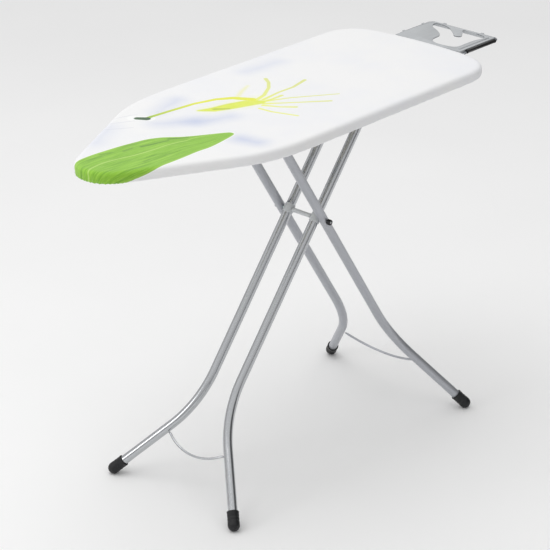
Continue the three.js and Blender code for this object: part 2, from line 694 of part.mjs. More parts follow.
// Saddle bracket that clamps the wire under the rear of the top.
function makeRestBracket(name, side) {
  const y = side * REST_WIRE_Y;
  const body = boxSolid(
    [REST_SCREW_X - 14, y - 13, REST_WIRE_LOW - 7],
    [REST_SCREW_X + 14, y + 13, UNDER_MESH],
  );
  const grooveR = REST_WIRE_R + CLEAR;
  const groove = solid(
    new THREE.CylinderGeometry(grooveR, grooveR, 60, 16),
    lengthwise(REST_SCREW_X, y, REST_WIRE_LOW),
  );
  const holeR = REST_SCREW_R + CLEAR;
  const screwHole = solid(
    new THREE.CylinderGeometry(holeR, holeR, 80, 16),
    upright(REST_SCREW_X, side * REST_SCREW_Y, REST_WIRE_LOW),
  );
  return piece(name, body.subtract(groove).subtract(screwHole), greyPlastic());
}

// Pan-head screw up through a bracket.
function makeRestScrew(name, side) {
  const headTop = REST_WIRE_LOW - 7 - CLEAR;
  const profile = [[0, -2.6], [2.6, -2.3], [4.2, -1], [4.4, 0], [REST_SCREW_R, 0], [REST_SCREW_R, 24],
    [0, 25]].map((p) => new THREE.Vector2(...p));
  const screw = new THREE.Mesh(new THREE.LatheGeometry(profile, 16), zincSteel());
  screw.name = name;
  screw.rotation.x = Math.PI / 2;
  screw.position.set(REST_SCREW_X, side * REST_SCREW_Y, headTop);
  return screw;
}

// ---------------------------------------------------------------- the whole board

const board = new THREE.Group();
board.add(
  makeCover(),
  makePad(),
  makeMeshTop(),
  makeRim(),
  makeRail("rail_near", -1),
  makeRail("rail_far", 1),
  makeBrace("brace_nose", NOSE_BRACE_X, 24),
  makeBrace("brace_middle", LEVER_X, 40),
  makeBrace("brace_rear", REAR_BRACE_X, 24),
  makeRack(),
  makeLeverBracket(),
  makeLeverPin(),
  makeLever(),
  makeLeverGrip(),
  makeLeverSpring(),
  frontLegs(),
  rearLegs(),
  makeRestPlate(),
  makeRestWire(),
  makeRestSleeve(),
  makeRestBracket("rest_bracket_near", -1),
  makeRestBracket("rest_bracket_far", 1),
  makeRestScrew("rest_screw_near", -1),
  makeRestScrew("rest_screw_far", 1),
);

export default board;
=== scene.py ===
# %% [markdown]
# # An ironing board, piece by piece
#
# The board is a padded top on a steel rim and mesh, two crossing leg frames with rubber feet, a height
# rack with its release lever, and an iron rest at the square end. Its sizes and joints are already
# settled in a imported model. Here every piece gets the shape and the finish that the eye sees.
#
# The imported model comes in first, as a fixed frame. Each new piece is placed from that frame's own
# measures, so nothing has to be fitted by eye afterwards.

# %% Load the frame
import math

import bmesh
import bpy
from mathutils import Matrix, Vector


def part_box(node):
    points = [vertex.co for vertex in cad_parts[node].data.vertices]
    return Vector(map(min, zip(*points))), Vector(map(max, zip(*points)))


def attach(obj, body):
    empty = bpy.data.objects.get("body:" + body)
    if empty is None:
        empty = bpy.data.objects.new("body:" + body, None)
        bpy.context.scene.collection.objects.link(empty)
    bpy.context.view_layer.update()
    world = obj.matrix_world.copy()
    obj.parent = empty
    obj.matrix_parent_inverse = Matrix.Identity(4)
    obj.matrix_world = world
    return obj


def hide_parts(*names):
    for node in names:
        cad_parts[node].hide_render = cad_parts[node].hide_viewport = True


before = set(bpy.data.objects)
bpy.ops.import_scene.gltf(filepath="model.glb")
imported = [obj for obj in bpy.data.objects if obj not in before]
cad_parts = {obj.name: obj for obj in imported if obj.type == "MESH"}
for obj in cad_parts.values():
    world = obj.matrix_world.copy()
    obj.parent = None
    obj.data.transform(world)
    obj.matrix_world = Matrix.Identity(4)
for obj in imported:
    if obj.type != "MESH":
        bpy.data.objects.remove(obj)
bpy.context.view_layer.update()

# %% [markdown]
# ## Helpers for working in edit mode
#
# Edit operators act on whatever is selected, and loading the frame leaves its pieces selected. So
# every step starts by clearing the selection, and picks vertices, edges or faces by where they are.
# The frame's lengths are in metres, and a millimetre is easier to think in for a small part.

# %% Helpers: selecting, editing, placing
MM = 0.001
scene = bpy.context.scene


def clear():
    if bpy.context.object and bpy.context.object.mode != "OBJECT":
        bpy.ops.object.mode_set(mode="OBJECT")
    bpy.ops.object.select_all(action="DESELECT")


def only(piece):
    clear()
    piece.select_set(True)
    bpy.context.view_layer.objects.active = piece


def edit(piece, kind="VERT"):
    only(piece)
    bpy.ops.object.mode_set(mode="EDIT")
    bpy.ops.mesh.select_mode(type=kind)
    bpy.ops.mesh.select_all(action="DESELECT")


def edit_all(piece, kind="VERT"):
    edit(piece, kind)
    bpy.ops.mesh.select_all(action="SELECT")


def done():
    bpy.ops.object.mode_set(mode="OBJECT")


def pick(piece, kind, wanted):
    """Selects, in edit mode, the vertices, edges or faces for which wanted() is true."""
    mesh = bmesh.from_edit_mesh(piece.data)
    for part in {"VERT": mesh.verts, "EDGE": mesh.edges, "FACE": mesh.faces}[kind]:
        part.select_set(bool(wanted(part)))
    mesh.select_flush_mode()
    bmesh.update_edit_mesh(piece.data)


def extrude(x=0.0, y=0.0, z=0.0):
    bpy.ops.mesh.extrude_region_move(TRANSFORM_OT_translate={"value": (x, y, z)})


def named(name):
    piece = bpy.context.object
    piece.name = name
    piece.data.name = name
    return piece


def settle(piece):
    """Puts a piece's place into its mesh, so that its object sits at the origin."""
    only(piece)
    bpy.ops.object.transform_apply(location=True, rotation=True, scale=True)


def apply(piece, kind, **settings):
    modifier = piece.modifiers.new(kind.title(), kind)
    for key, value in settings.items():
        setattr(modifier, key, value)
    only(piece)
    bpy.ops.object.modifier_apply(modifier=modifier.name)


def outward(piece, gap=1e-6):
    """Merges doubled vertices and turns all faces to point out."""
    edit_all(piece)
    bpy.ops.mesh.remove_doubles(threshold=gap)
    bpy.ops.mesh.normals_make_consistent(inside=False)
    done()


def smooth(piece, angle=32):
    only(piece)
    bpy.ops.object.shade_smooth_by_angle(angle=math.radians(angle))


def middle(node):
    low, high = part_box(node)
    return (low + high) / 2


def finish_piece(piece, body, slot, material, *nodes):
    """Gives a piece its body and its material, and hides the frame's pieces that it stands for. The slot is
    not used.
    """
    piece.data.materials.clear()
    piece.data.materials.append(material)
    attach(piece, body)
    if nodes:
        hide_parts(*nodes)
    return piece


# %% [markdown]
# ## Camera
#
# The camera looks down along the top from beyond the nose's near side, with a long lens from about five
# metres away, which keeps the two ends of the board nearly the same size. Its turn is given by three
# directions: right, up, and back towards the viewer.

# %% Camera
CAMERA_PLACE = Vector((-3.3884, -3.0133, 2.5145))
CAMERA_RIGHT = Vector((0.67075, -0.74168, 0.0))
CAMERA_UP = Vector((0.30939, 0.27980, 0.90884))
CAMERA_LENS = 139.29

camera_data = bpy.data.cameras.new("camera")
camera_data.lens = CAMERA_LENS
camera_data.sensor_width = 36
camera_data.clip_end = 200
camera = bpy.data.objects.new("camera", camera_data)
scene.collection.objects.link(camera)
camera_back = CAMERA_RIGHT.cross(CAMERA_UP)
camera.matrix_world = Matrix.Translation(CAMERA_PLACE) @ Matrix(
    (CAMERA_RIGHT, CAMERA_UP, camera_back)
).transposed().to_4x4()
scene.camera = camera

# %% [markdown]
# ## Floor, light and view
#
# A wide pale floor and a white sky stand in for a studio backdrop. The sky is bright overhead and
# dimmer at eye level, so the top of the board reads white and its side band reads grey. One broad lamp
# overhead and a dark stretch low in the sky give the satin tubes something to reflect: metal looks like
# metal only when it mirrors both light and dark.

# %% Floor, lamps and sky
scene.view_settings.view_transform = "Standard"
scene.view_settings.look = "None"


def light(rgb):
    """The linear colour of an ordinary 0 to 255 one."""
    parts = [c / 255 for c in rgb]
    return tuple(c / 12.92 if c < 0.04045 else ((c + 0.055) / 1.055) ** 2.4 for c in parts) + (1.0,)


def node(tree, kind, inputs=None, **settings):
    """Adds a node, sets its options, and feeds its inputs with numbers or with other nodes' outputs."""
    made = tree.nodes.new(kind)
    for key, value in settings.items():
        setattr(made, key, value)
    for key, value in (inputs or {}).items():
        if isinstance(value, bpy.types.NodeSocket):
            tree.links.new(value, made.inputs[key])
        else:
            made.inputs[key].default_value = value
    return made


def maths(tree, operation, a, b=0.0, clamp=False):
    return node(tree, "ShaderNodeMath", {0: a, 1: b}, operation=operation, use_clamp=clamp).outputs[0]


def mix(tree, share, a, b, how="MIX"):
    mixer = node(tree, "ShaderNodeMix", {0: share, 6: a, 7: b}, data_type="RGBA", blend_type=how)
    return mixer.outputs[2]


def ramp(tree, value, stops, how="LINEAR"):
    """A colour ramp; each stop is a place from 0 to 1 and a grey or a colour."""
    made = node(tree, "ShaderNodeValToRGB", {0: value})
    made.color_ramp.interpolation = how
    bar = made.color_ramp.elements
    while len(bar) < len(stops):
        bar.new(0.5)
    for element, (place, shade) in zip(bar, stops):
        element.position = place
        element.color = shade if isinstance(shade, tuple) else (shade, shade, shade, 1.0)
    return made.outputs[0]


SKY_TOP = 0.82
SKY_LEVEL = 0.48
SKY_DARK = 0.10

world = bpy.data.worlds.new("studio")
scene.world = world
world.use_nodes = True
sky = world.node_tree
sky.nodes.clear()
aim = node(sky, "ShaderNodeTexCoord").outputs["Generated"]
aim_parts = node(sky, "ShaderNodeSeparateXYZ", {0: aim}).outputs
rise = node(sky, "ShaderNodeMapRange", {0: aim_parts[2], 1: -0.2, 2: 1.0}).outputs[0]
glow = ramp(sky, rise, [(0.0, SKY_LEVEL), (0.25, SKY_LEVEL), (0.7, SKY_TOP), (1.0, SKY_TOP)])
away_x = maths(sky, "MULTIPLY", aim_parts[0], 0.75)
away_y = maths(sky, "MULTIPLY", aim_parts[1], -0.66)
away = maths(sky, "ADD", away_x, away_y)
dark = ramp(sky, away, [(0.0, 0.0), (0.55, 0.0), (0.8, 1.0), (1.0, 1.0)])
shaded = mix(sky, dark, glow, (SKY_DARK, SKY_DARK, SKY_DARK, 1))
seen = node(sky, "ShaderNodeLightPath").outputs["Is Camera Ray"]
backdrop = mix(sky, seen, shaded, (1, 1, 1, 1))
background = node(sky, "ShaderNodeBackground", {0: backdrop, 1: 1.0})
node(sky, "ShaderNodeOutputWorld", {0: background.outputs[0]})


def lamp(name, place, target, size, watts):
    data = bpy.data.lights.new(name, "AREA")
    data.energy = watts
    data.size = size
    made = bpy.data.objects.new(name, data)
    scene.collection.objects.link(made)
    made.location = place
    made.rotation_euler = (Vector(target) - Vector(place)).to_track_quat("-Z", "Y").to_euler()


TOP_MIDDLE = (0, 0, 0.6)
lamp("lamp_over", (-0.6, 0.6, 4.2), TOP_MIDDLE, 3.2, 48)
lamp("lamp_left", (-4.0, 1.6, 2.0), TOP_MIDDLE, 1.2, 18)

clear()
bpy.ops.mesh.primitive_plane_add(size=60, location=(0, 0, 0))
floor = named("floor")
floor_paint = bpy.data.materials.new("floor_paint")
floor_paint.use_nodes = True
floor_shader = floor_paint.node_tree.nodes["Principled BSDF"]
floor_shader.inputs["Roughness"].default_value = 0.9
floor_shader.inputs["Specular IOR Level"].default_value = 0.1
floor_tree = floor_paint.node_tree
floor_spot = node(floor_tree, "ShaderNodeTexCoord").outputs["Object"]
floor_noise = node(floor_tree, "ShaderNodeTexNoise", {"Vector": floor_spot, "Scale": 1.5}).outputs[0]
floor_colour = ramp(floor_tree, floor_noise, [(0.3, light((250, 250, 250))), (0.7, light((252, 252, 252)))])
floor_tree.links.new(floor_colour, floor_shader.inputs["Base Color"])
floor.data.materials.append(floor_paint)
print("floor, sky and lamps are set")

# %% [markdown]
# ## Finishes for the metal, rubber and plastic
#
# Each finish starts from the Principled shader. What makes them look real is small: zinc has
# soft cloudy patches, painted steel has a faint orange-peel surface, a drawn tube has lines running
# along it, and rubber is a little uneven and dusty. All of these follow the object's own coordinates,
# so they stay put on the piece when the board folds.

# %% Helper: a finish
def finish(name, metal=0.0, sheen=0.0):
    """A material with its Principled shader and the piece's own coordinates."""
    made = bpy.data.materials.new(name)
    made.use_nodes = True
    tree = made.node_tree
    shader = tree.nodes["Principled BSDF"]
    shader.inputs["Metallic"].default_value = metal
    shader.inputs["Sheen Weight"].default_value = sheen
    spot = node(tree, "ShaderNodeTexCoord").outputs["Object"]
    return made, tree, shader, spot


def noise(tree, spot, scale, detail=3.0, rough=0.55):
    inputs = {"Vector": spot, "Scale": scale, "Detail": detail, "Roughness": rough}
    return node(tree, "ShaderNodeTexNoise", inputs).outputs[0]


def surface(tree, shader, colour, by, smoothest, roughest):
    """Gives a finish its colour, and a roughness between two values that follows a pattern."""
    tree.links.new(colour, shader.inputs["Base Color"])
    rough = node(tree, "ShaderNodeMapRange", {0: by, 3: smoothest, 4: roughest}).outputs[0]
    tree.links.new(rough, shader.inputs["Roughness"])


def bump(tree, shader, height, depth, strength=0.5):
    raised = node(tree, "ShaderNodeBump", {"Height": height, "Distance": depth, "Strength": strength})
    tree.links.new(raised.outputs[0], shader.inputs["Normal"])


# %% Finishes: tube steel, zinc, wire, plate
def tube_steel(name, lean, dark, pale, metal, rough):
    """Silver tube, with fine lines along it. lean is the tube's angle from upright."""
    made, tree, shader, spot = finish(name, metal=metal)
    turned = node(tree, "ShaderNodeMapping", {"Vector": spot, "Rotation": (0, -lean, 0)}).outputs[0]
    along = node(tree, "ShaderNodeMapping", {"Vector": turned, "Scale": (1, 1, 0.02)}).outputs[0]
    lines = noise(tree, along, 900, 2)
    colour = mix(tree, lines, light(dark), light(pale))
    surface(tree, shader, colour, lines, rough - 0.03, rough + 0.05)
    bump(tree, shader, lines, 0.00002, 0.25)
    return made


def zinc(name):
    made, tree, shader, spot = finish(name, metal=0.95)
    grains = node(tree, "ShaderNodeTexVoronoi", {"Vector": spot, "Scale": 160}).outputs["Color"]
    clouds = noise(tree, spot, 40, 5)
    colour = mix(tree, clouds, light((178, 182, 186)), light((214, 217, 220)))
    colour = mix(tree, 0.12, colour, grains, "OVERLAY")
    surface(tree, shader, colour, clouds, 0.26, 0.48)
    bump(tree, shader, noise(tree, spot, 900, 2), 0.00003, 0.4)
    return made


def bright_wire(name):
    made, tree, shader, spot = finish(name, metal=1.0)
    clouds = noise(tree, spot, 60, 4)
    colour = mix(tree, clouds, light((120, 123, 128)), light((168, 171, 176)))
    surface(tree, shader, colour, clouds, 0.12, 0.24)
    bump(tree, shader, noise(tree, spot, 500, 2), 0.00002, 0.3)
    return made


def coated_plate(name):
    """Pale grey coat on the iron rest, rubbed by hot irons along one way."""
    made, tree, shader, spot = finish(name, metal=0.35)
    along = node(tree, "ShaderNodeMapping", {"Vector": spot, "Scale": (0.08, 1, 1)}).outputs[0]
    rubbed = noise(tree, along, 260, 4)
    clouds = noise(tree, spot, 18, 3)
    colour = mix(tree, clouds, light((184, 187, 190)), light((204, 207, 209)))
    colour = mix(tree, ramp(tree, rubbed, [(0.4, 0.2), (0.7, 0.0)]), colour, light((160, 163, 166)))
    surface(tree, shader, colour, rubbed, 0.32, 0.5)
    bump(tree, shader, noise(tree, spot, 700, 2), 0.00004, 0.4)
    return made


# %% Finishes: rubber, silicone, plastic, foam
def rubber(name, dark, dusty, rough):
    made, tree, shader, spot = finish(name)
    dust = ramp(tree, noise(tree, spot, 55, 5), [(0.45, 0.0), (0.75, 1.0)])
    colour = mix(tree, dust, light(dark), light(dusty))
    surface(tree, shader, colour, dust, rough, rough + 0.2)
    bump(tree, shader, noise(tree, spot, 1400, 2), 0.00006, 0.5)
    return made


def moulded(name, dark, pale, rough):
    """Moulded plastic: an even colour with the fine spark-eroded grain of its mould."""
    made, tree, shader, spot = finish(name)
    shader.inputs["Specular IOR Level"].default_value = 0.45
    colour = mix(tree, noise(tree, spot, 30, 3), light(dark), light(pale))
    grain = noise(tree, spot, 2200, 2)
    surface(tree, shader, colour, grain, rough - 0.06, rough + 0.08)
    bump(tree, shader, grain, 0.00003, 0.5)
    return made


def open_foam(name):
    made, tree, shader, spot = finish(name)
    cells = node(tree, "ShaderNodeTexVoronoi", {"Vector": spot, "Scale": 700}).outputs["Distance"]
    colour = mix(tree, noise(tree, spot, 25, 4), light((226, 220, 200)), light((240, 235, 219)))
    # The middle of each cell, where the bump sinks into a pit, is painted darker: painted shade in the
    # hollows of the foam.
    colour = mix(tree, ramp(tree, cells, [(0.0, 0.5), (0.5, 0.0)]), colour, light((190, 180, 152)))
    tree.links.new(colour, shader.inputs["Base Color"])
    shader.inputs["Roughness"].default_value = 0.95
    bump(tree, shader, cells, 0.0004, 0.8)
    return made


ZINC = zinc("zinc_plate")
WIRE = bright_wire("bright_wire")
PLATE = coated_plate("rest_coat")
RUBBER = rubber("black_rubber", (8, 9, 13), (18, 19, 23), 0.45)
SILICONE = rubber("black_silicone", (5, 5, 7), (13, 13, 15), 0.3)
SILVER_PLASTIC = moulded("silver_plastic", (196, 199, 201), (214, 217, 219), 0.42)
DARK = moulded("dark_plastic", (38, 39, 42), (52, 53, 57), 0.42)
FOAM = open_foam("pad_foam")
print("finishes made:", len(bpy.data.materials))

# %% [markdown]
# ## Small hardware from the frame's own shapes
#
# Rails, braces, brackets, pins and screws already have their true shape in the frame, but with razor
# edges that no real part has. Each is copied, its loose triangles are merged and flattened into whole
# faces, and a small bevel rounds the edges so that they catch the light. A swept wire gets a level of
# subdivision instead, which turns its facets into a round.

# %% Helper: a finished copy of a frame piece
def finished_copy(name, body, slot, material, bevel=0.3, rounds=0):
    """A copy of a frame piece with bevel millimetres on its edges, or with subdivision rounds."""
    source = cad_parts[name]
    piece = bpy.data.objects.new(name + "_fine", source.data.copy())
    scene.collection.objects.link(piece)
    edit_all(piece)
    bpy.ops.mesh.remove_doubles(threshold=2e-6)
    bpy.ops.mesh.dissolve_limited(angle_limit=math.radians(0.6))
    done()
    if rounds:
        apply(piece, "SUBSURF", levels=rounds, render_levels=rounds)
    elif bevel:
        apply(piece, "BEVEL", width=bevel * MM, segments=2, limit_method="ANGLE",
              angle_limit=math.radians(38), use_clamp_overlap=True, harden_normals=False)
    smooth(piece)
    return finish_piece(piece, body, slot, material, name)


# %% Hardware under the top
board_steel = tube_steel("rim_steel", 0.0, (176, 178, 183), (192, 194, 198), 0.7, 0.34)
finished_copy("board_rim", "board", "leg_steel", board_steel, 0.5)
for name in ("rail_near", "rail_far", "brace_nose", "brace_middle", "brace_rear", "height_rack",
             "lever_bracket", "lever_pin"):
    finished_copy(name, "board", "zinc_steel", ZINC, 0.4)
finished_copy("lever_spring", "board", "zinc_steel", ZINC, rounds=1)
finished_copy("release_lever", "lever", "zinc_steel", ZINC, 0.5)
finished_copy("lever_grip", "lever", "dark_plastic", DARK, 2.5)
for side in ("near", "far"):
    finished_copy("rest_bracket_" + side, "board", "grey_plastic", SILVER_PLASTIC, 1.0)
    finished_copy("rest_screw_" + side, "board", "zinc_steel", ZINC, 0.3)
    finished_copy("front_bar_cap_" + side, "front_frame", "dark_plastic", DARK, 0.8)
    finished_copy("sliding_cap_" + side, "rear_frame", "dark_plastic", DARK, 0.8)
    finished_copy("pivot_saddle_" + side, "front_frame", "grey_plastic", SILVER_PLASTIC, 0.6)
    finished_copy("front_plug_" + side, "front_frame", "dark_plastic", DARK, 0.3)
    finished_copy("rear_plug_" + side, "rear_frame", "dark_plastic", DARK, 0.3)
finished_copy("front_cross_bar", "front_frame", "zinc_steel", ZINC, 0.6)
finished_copy("sliding_bar", "rear_frame", "zinc_steel", ZINC, 0.6)
finished_copy("pivot_bolt", "rear_frame", "zinc_steel", ZINC, 0.6)
print("hardware finished")

# %% [markdown]
# ## Leg tubes
#
# A leg is one steel tube: straight from the top, bent outward low down, then straight again to the
# foot. Here that is a circle pushed down along the tube, spun about the bend's centre, and pushed
# on to the foot. The tube is made in its frame's own upright pose, and leaned over afterwards, because
# a bend is easy to place while its axis still runs along X.

# %% Leg sizes, taken from the frame
TUBE_R = 11 * MM
TUBE_WALL = 1.2 * MM
TUBE_END = 10 * MM
FOOT_R = 14 * MM
FOOT_IN = 8 * MM
BEND = math.radians(34.7)
BEND_R = 275 * MM
TUBE_SIDES = 40
TUBE_FINISH = {
    # darker and paler colour, metallic share and roughness
    "front": ((178, 180, 184), (204, 206, 208), 0.95, 0.17),
    "rear": ((172, 174, 180), (190, 192, 197), 0.60, 0.36),
}

crossing = Vector((middle("pivot_bolt").x, 0, middle("pivot_bolt").z))
fixed_bar = Vector((middle("front_cross_bar").x, 0, middle("front_cross_bar").z))
sliding_bar = Vector((middle("sliding_bar").x, 0, middle("sliding_bar").z))


def leg_frame(name, bar):
    """Sizes of one leg frame: its lean, its straight spacing, its foot spread and its lengths."""
    reach = bar - crossing
    foot_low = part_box(name + "_foot_near")[0]
    leg_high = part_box(name + "_leg_near")[1]
    lean = math.atan2(reach.x, reach.z)
    return {
        "lean": lean,
        "upper": reach.length,
        "spacing": -leg_high.y + TUBE_R,
        "spread": -foot_low.y - FOOT_R,
        "lower": (crossing.z - foot_low.z - FOOT_R) / math.cos(lean),
        "place": Matrix.Translation(crossing) @ Matrix.Rotation(lean, 4, "Y"),
        "steel": tube_steel(name + "_steel", lean, *TUBE_FINISH[name]),
    }


FRAMES = {"front": leg_frame("front", fixed_bar), "rear": leg_frame("rear", sliding_bar)}
for name, sizes in FRAMES.items():
    print(name, "frame leans", round(math.degrees(sizes["lean"]), 2), "deg; tubes",
          round(sizes["spacing"] / MM, 1), "mm and feet", round(sizes["spread"] / MM, 1), "mm off the middle")


# %% Leg tubes
def leg(name, side_name, side, sizes):
    bend_out = BEND_R * (1 - math.cos(BEND))
    splay_rise = (sizes["spread"] - sizes["spacing"] - bend_out) / math.tan(BEND)
    bend_top = -sizes["lower"] + splay_rise + BEND_R * math.sin(BEND)
    y = side * sizes["spacing"]
    top = sizes["upper"] + TUBE_END
    clear()
    bpy.ops.mesh.primitive_circle_add(vertices=TUBE_SIDES, radius=TUBE_R, location=(0, y, top))
    tube = named(f"{name}_leg_{side_name}_fine")
    settle(tube)
    edit_all(tube)
    extrude(z=bend_top - top)
    bend_middle = (0, side * (sizes["spacing"] + BEND_R), bend_top)
    bpy.ops.mesh.spin(steps=20, angle=-side * BEND, center=bend_middle, axis=(1, 0, 0))
    straight = splay_rise / math.cos(BEND) - FOOT_IN
    extrude(y=side * straight * math.sin(BEND), z=-straight * math.cos(BEND))
    done()
    outward(tube)
    apply(tube, "SOLIDIFY", thickness=TUBE_WALL, offset=-1)
    smooth(tube)
    tube.data.transform(sizes["place"])
    return finish_piece(tube, name + "_frame", "leg_steel", sizes["steel"], f"{name}_leg_{side_name}")


for name, sizes in FRAMES.items():
    for side_name, side in (("near", -1), ("far", 1)):
        tube = leg(name, side_name, side, sizes)
        low = min(v.co.z for v in tube.data.vertices)
        print(tube.name, "reaches down to", round(low / MM, 1), "mm; the frame's tube to",
              round(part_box(f"{name}_leg_{side_name}")[0].z / MM, 1))


# %% [markdown]
# ## Turned pieces
#
# Feet, spacers and caps are all round, so they are made as a turner would: one circle, pushed out ring
# after ring to the widths of a profile. A closed end is a ring drawn together into one point.

# %% Helper: a turned piece
POINT_R = 0.01  # millimetres: a ring this small merges into one point


def turned(name, profile, sides=32):
    """A round solid about Z. Each profile entry is (radius, height) in millimetres, from end to end."""
    clear()
    first_r, first_z = profile[0]
    radius, height = max(first_r, POINT_R), first_z
    bpy.ops.mesh.primitive_circle_add(vertices=sides, radius=radius * MM, location=(0, 0, height * MM))
    piece = named(name)
    settle(piece)
    edit_all(piece)
    for next_r, next_z in profile[1:]:
        next_r = max(next_r, POINT_R)
        extrude(z=(next_z - height) * MM)
        grow = next_r / radius
        bpy.ops.transform.resize(value=(grow, grow, 1))
        radius, height = next_r, next_z
    done()
    outward(piece, 0.05 * MM)
    return piece


# %% [markdown]
# ## Rubber feet
#
# Each foot is a thick rubber boot on the tube's end. It has a ball-shaped sole that meets the floor at
# any leg angle, two shallow grip grooves, and a rolled lip where the tube goes in.

# %% Rubber feet
FOOT_TURN = [(0, -14)] + [
    (14 * math.sin(math.radians(a)), -14 * math.cos(math.radians(a))) for a in range(12, 91, 13)
] + [
    (14, 4), (13.8, 9), (13.1, 10), (13.1, 11.4), (13.8, 12.4), (13.7, 16.5), (13.0, 17.5), (13.0, 18.9),
    (13.7, 19.9), (13.6, 28), (14.1, 29.2), (14.2, 30.8), (13.6, 32), (12.4, 32.4), (11.5, 31.6),
    (11.5, 8), (0, 8),
]


def foot(name, side_name, side, sizes):
    boot = turned(f"{name}_foot_{side_name}_fine", FOOT_TURN, 40)
    smooth(boot, 40)
    spot = Matrix.Translation((0, side * sizes["spread"], -sizes["lower"]))
    tilt = spot @ Matrix.Rotation(side * BEND, 4, "X")
    boot.data.transform(sizes["place"] @ tilt)
    return finish_piece(boot, name + "_frame", "rubber", RUBBER, f"{name}_foot_{side_name}")


for name, sizes in FRAMES.items():
    for side_name, side in (("near", -1), ("far", 1)):
        boot = foot(name, side_name, side, sizes)
        print(boot.name, "stands at", round(min(v.co.z for v in boot.data.vertices) / MM, 2), "mm")

# %% [markdown]
# ## Stays, pivot spacer and pivot button
#
# The bowed stay wires keep their swept shape and are rounded by subdivision. Subdivision draws their
# ends in, so the ends are moved out again to meet the tubes. The spacer between the inner tubes is a
# slim pale plastic tube with a collar at each end. The bolt has a flat head at the far side. At the near
# side a black rubber button covers its nut, with a small bright rivet head in its dished face.

# %% Stays and pivot
for name, sizes in FRAMES.items():
    stay = finished_copy(name + "_stay", name + "_frame", "leg_steel", sizes["steel"], rounds=1)
    stay_end = max(vertex.co.y for vertex in stay.data.vertices)
    for vertex in stay.data.vertices:
        if abs(vertex.co.y) > stay_end - 1.5 * MM:
            vertex.co.y += math.copysign(2.5 * MM, vertex.co.y)

spacer_half = (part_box("pivot_spacer")[1].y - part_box("pivot_spacer")[0].y) / 2 / MM
button_end = -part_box("pivot_cap")[0].y / MM
button_in = -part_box("pivot_cap")[1].y / MM
SPACER_TURN = [
    (4.4, -spacer_half), (5.6, -spacer_half), (6.0, -spacer_half + 0.5), (6.0, -spacer_half + 3.0),
    (5.3, -spacer_half + 3.8), (5.3, spacer_half - 3.8), (6.0, spacer_half - 3.0), (6.0, spacer_half - 0.5),
    (5.6, spacer_half), (4.4, spacer_half), (4.4, -spacer_half),
]
spacer = turned("pivot_spacer_fine", SPACER_TURN)
smooth(spacer, 40)
spacer.data.transform(Matrix.Translation(crossing) @ Matrix.Rotation(math.radians(90), 4, "X"))
finish_piece(spacer, "front_frame", "grey_plastic", SILVER_PLASTIC, "pivot_spacer")

BUTTON_TURN = [
    (4.4, button_in), (6.3, button_in), (6.8, button_in + 0.6), (6.8, button_end - 1.6),
    (6.0, button_end - 0.4), (4.6, button_end), (3.4, button_end - 0.5), (2.9, button_end - 1.2),
    (0, button_end - 1.4),
]
RIVET_TURN = [
    (0, button_end - 1.3), (2.6, button_end - 1.2), (2.5, button_end - 0.5), (1.6, button_end - 0.1),
    (0, button_end),
]
to_near_side = Matrix.Translation(crossing) @ Matrix.Rotation(math.radians(90), 4, "X")
button = turned("pivot_cap_fine", BUTTON_TURN)
apply(button, "SOLIDIFY", thickness=0.3 * MM, offset=-1)
smooth(button, 40)
button.data.transform(to_near_side)
finish_piece(button, "rear_frame", "rubber", RUBBER, "pivot_cap")
rivet = turned("pivot_rivet", RIVET_TURN)
smooth(rivet, 40)
rivet.data.transform(to_near_side)
finish_piece(rivet, "rear_frame", "zinc_steel", ZINC)
print("stays, spacer and button finished")

# %% [markdown]
# ## The top's outline
#
# Cover, pad and mesh all share one outline: a blunt nose, a straight taper, parallel sides and a
# rounded square end. Half of it is drawn as two Bezier curves and two straight lines, and measured
# along its length, so that any piece can ask for the point at a given distance from the nose tip and
# a given inset from the edge.

# %% The outline
cover_low, cover_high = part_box("cover")
NOSE_X, REAR_X, HALF_WIDTH = cover_low.x, cover_high.x, cover_high.y
TOP_Z, EDGE_Z = cover_high.z, cover_low.z


def bezier(start, pull_a, pull_b, end, steps):
    points = []
    for i in range(1, steps + 1):
        t = i / steps
        weights = ((1 - t) ** 3, 3 * t * (1 - t) ** 2, 3 * t * t * (1 - t), t ** 3)
        pulls = zip(weights, (start, pull_a, pull_b, end))
        points.append(sum((weight * Vector(pull) for weight, pull in pulls), Vector((0, 0))))
    return points


def half_outline():
    """Points of the far half, from the nose tip to the middle of the rear edge, and where the nose ends."""
    nose = [Vector((NOSE_X, 0))] + bezier(
        (NOSE_X, 0), (NOSE_X, 0.038), (NOSE_X + 0.022, 0.058), (NOSE_X + 0.052, 0.074), 60)
    taper = [nose[-1].lerp(Vector((NOSE_X + 0.270, 0.187)), i / 40) for i in range(1, 41)]
    shoulder = bezier((NOSE_X + 0.270, 0.187), (NOSE_X + 0.325, 0.215), (NOSE_X + 0.380, HALF_WIDTH),
                      (NOSE_X + 0.470, HALF_WIDTH), 60)
    side_end = Vector((REAR_X - 0.118, HALF_WIDTH))
    side = [shoulder[-1].lerp(side_end, i / 60) for i in range(1, 61)]
    corner_end = (REAR_X - 0.010, 0.140)
    corner = bezier(side_end, (REAR_X - 0.052, HALF_WIDTH), (REAR_X - 0.020, 0.196), corner_end, 60)
    rear = bezier(corner_end, (REAR_X - 0.0033, 0.100), (REAR_X, 0.0533), (REAR_X, 0), 40)
    points = nose + taper + shoulder + side + corner + rear
    corner_middle = len(nose + taper + shoulder + side) + 30
    return points, len(nose) - 1, corner_middle


HALF, NOSE_INDEX, CORNER_INDEX = half_outline()
LENGTHS = [0.0]
for before, after in zip(HALF, HALF[1:]):
    LENGTHS.append(LENGTHS[-1] + (after - before).length)
NOSE_RUN, CORNER_RUN, FULL_RUN = LENGTHS[NOSE_INDEX], LENGTHS[CORNER_INDEX], LENGTHS[-1]


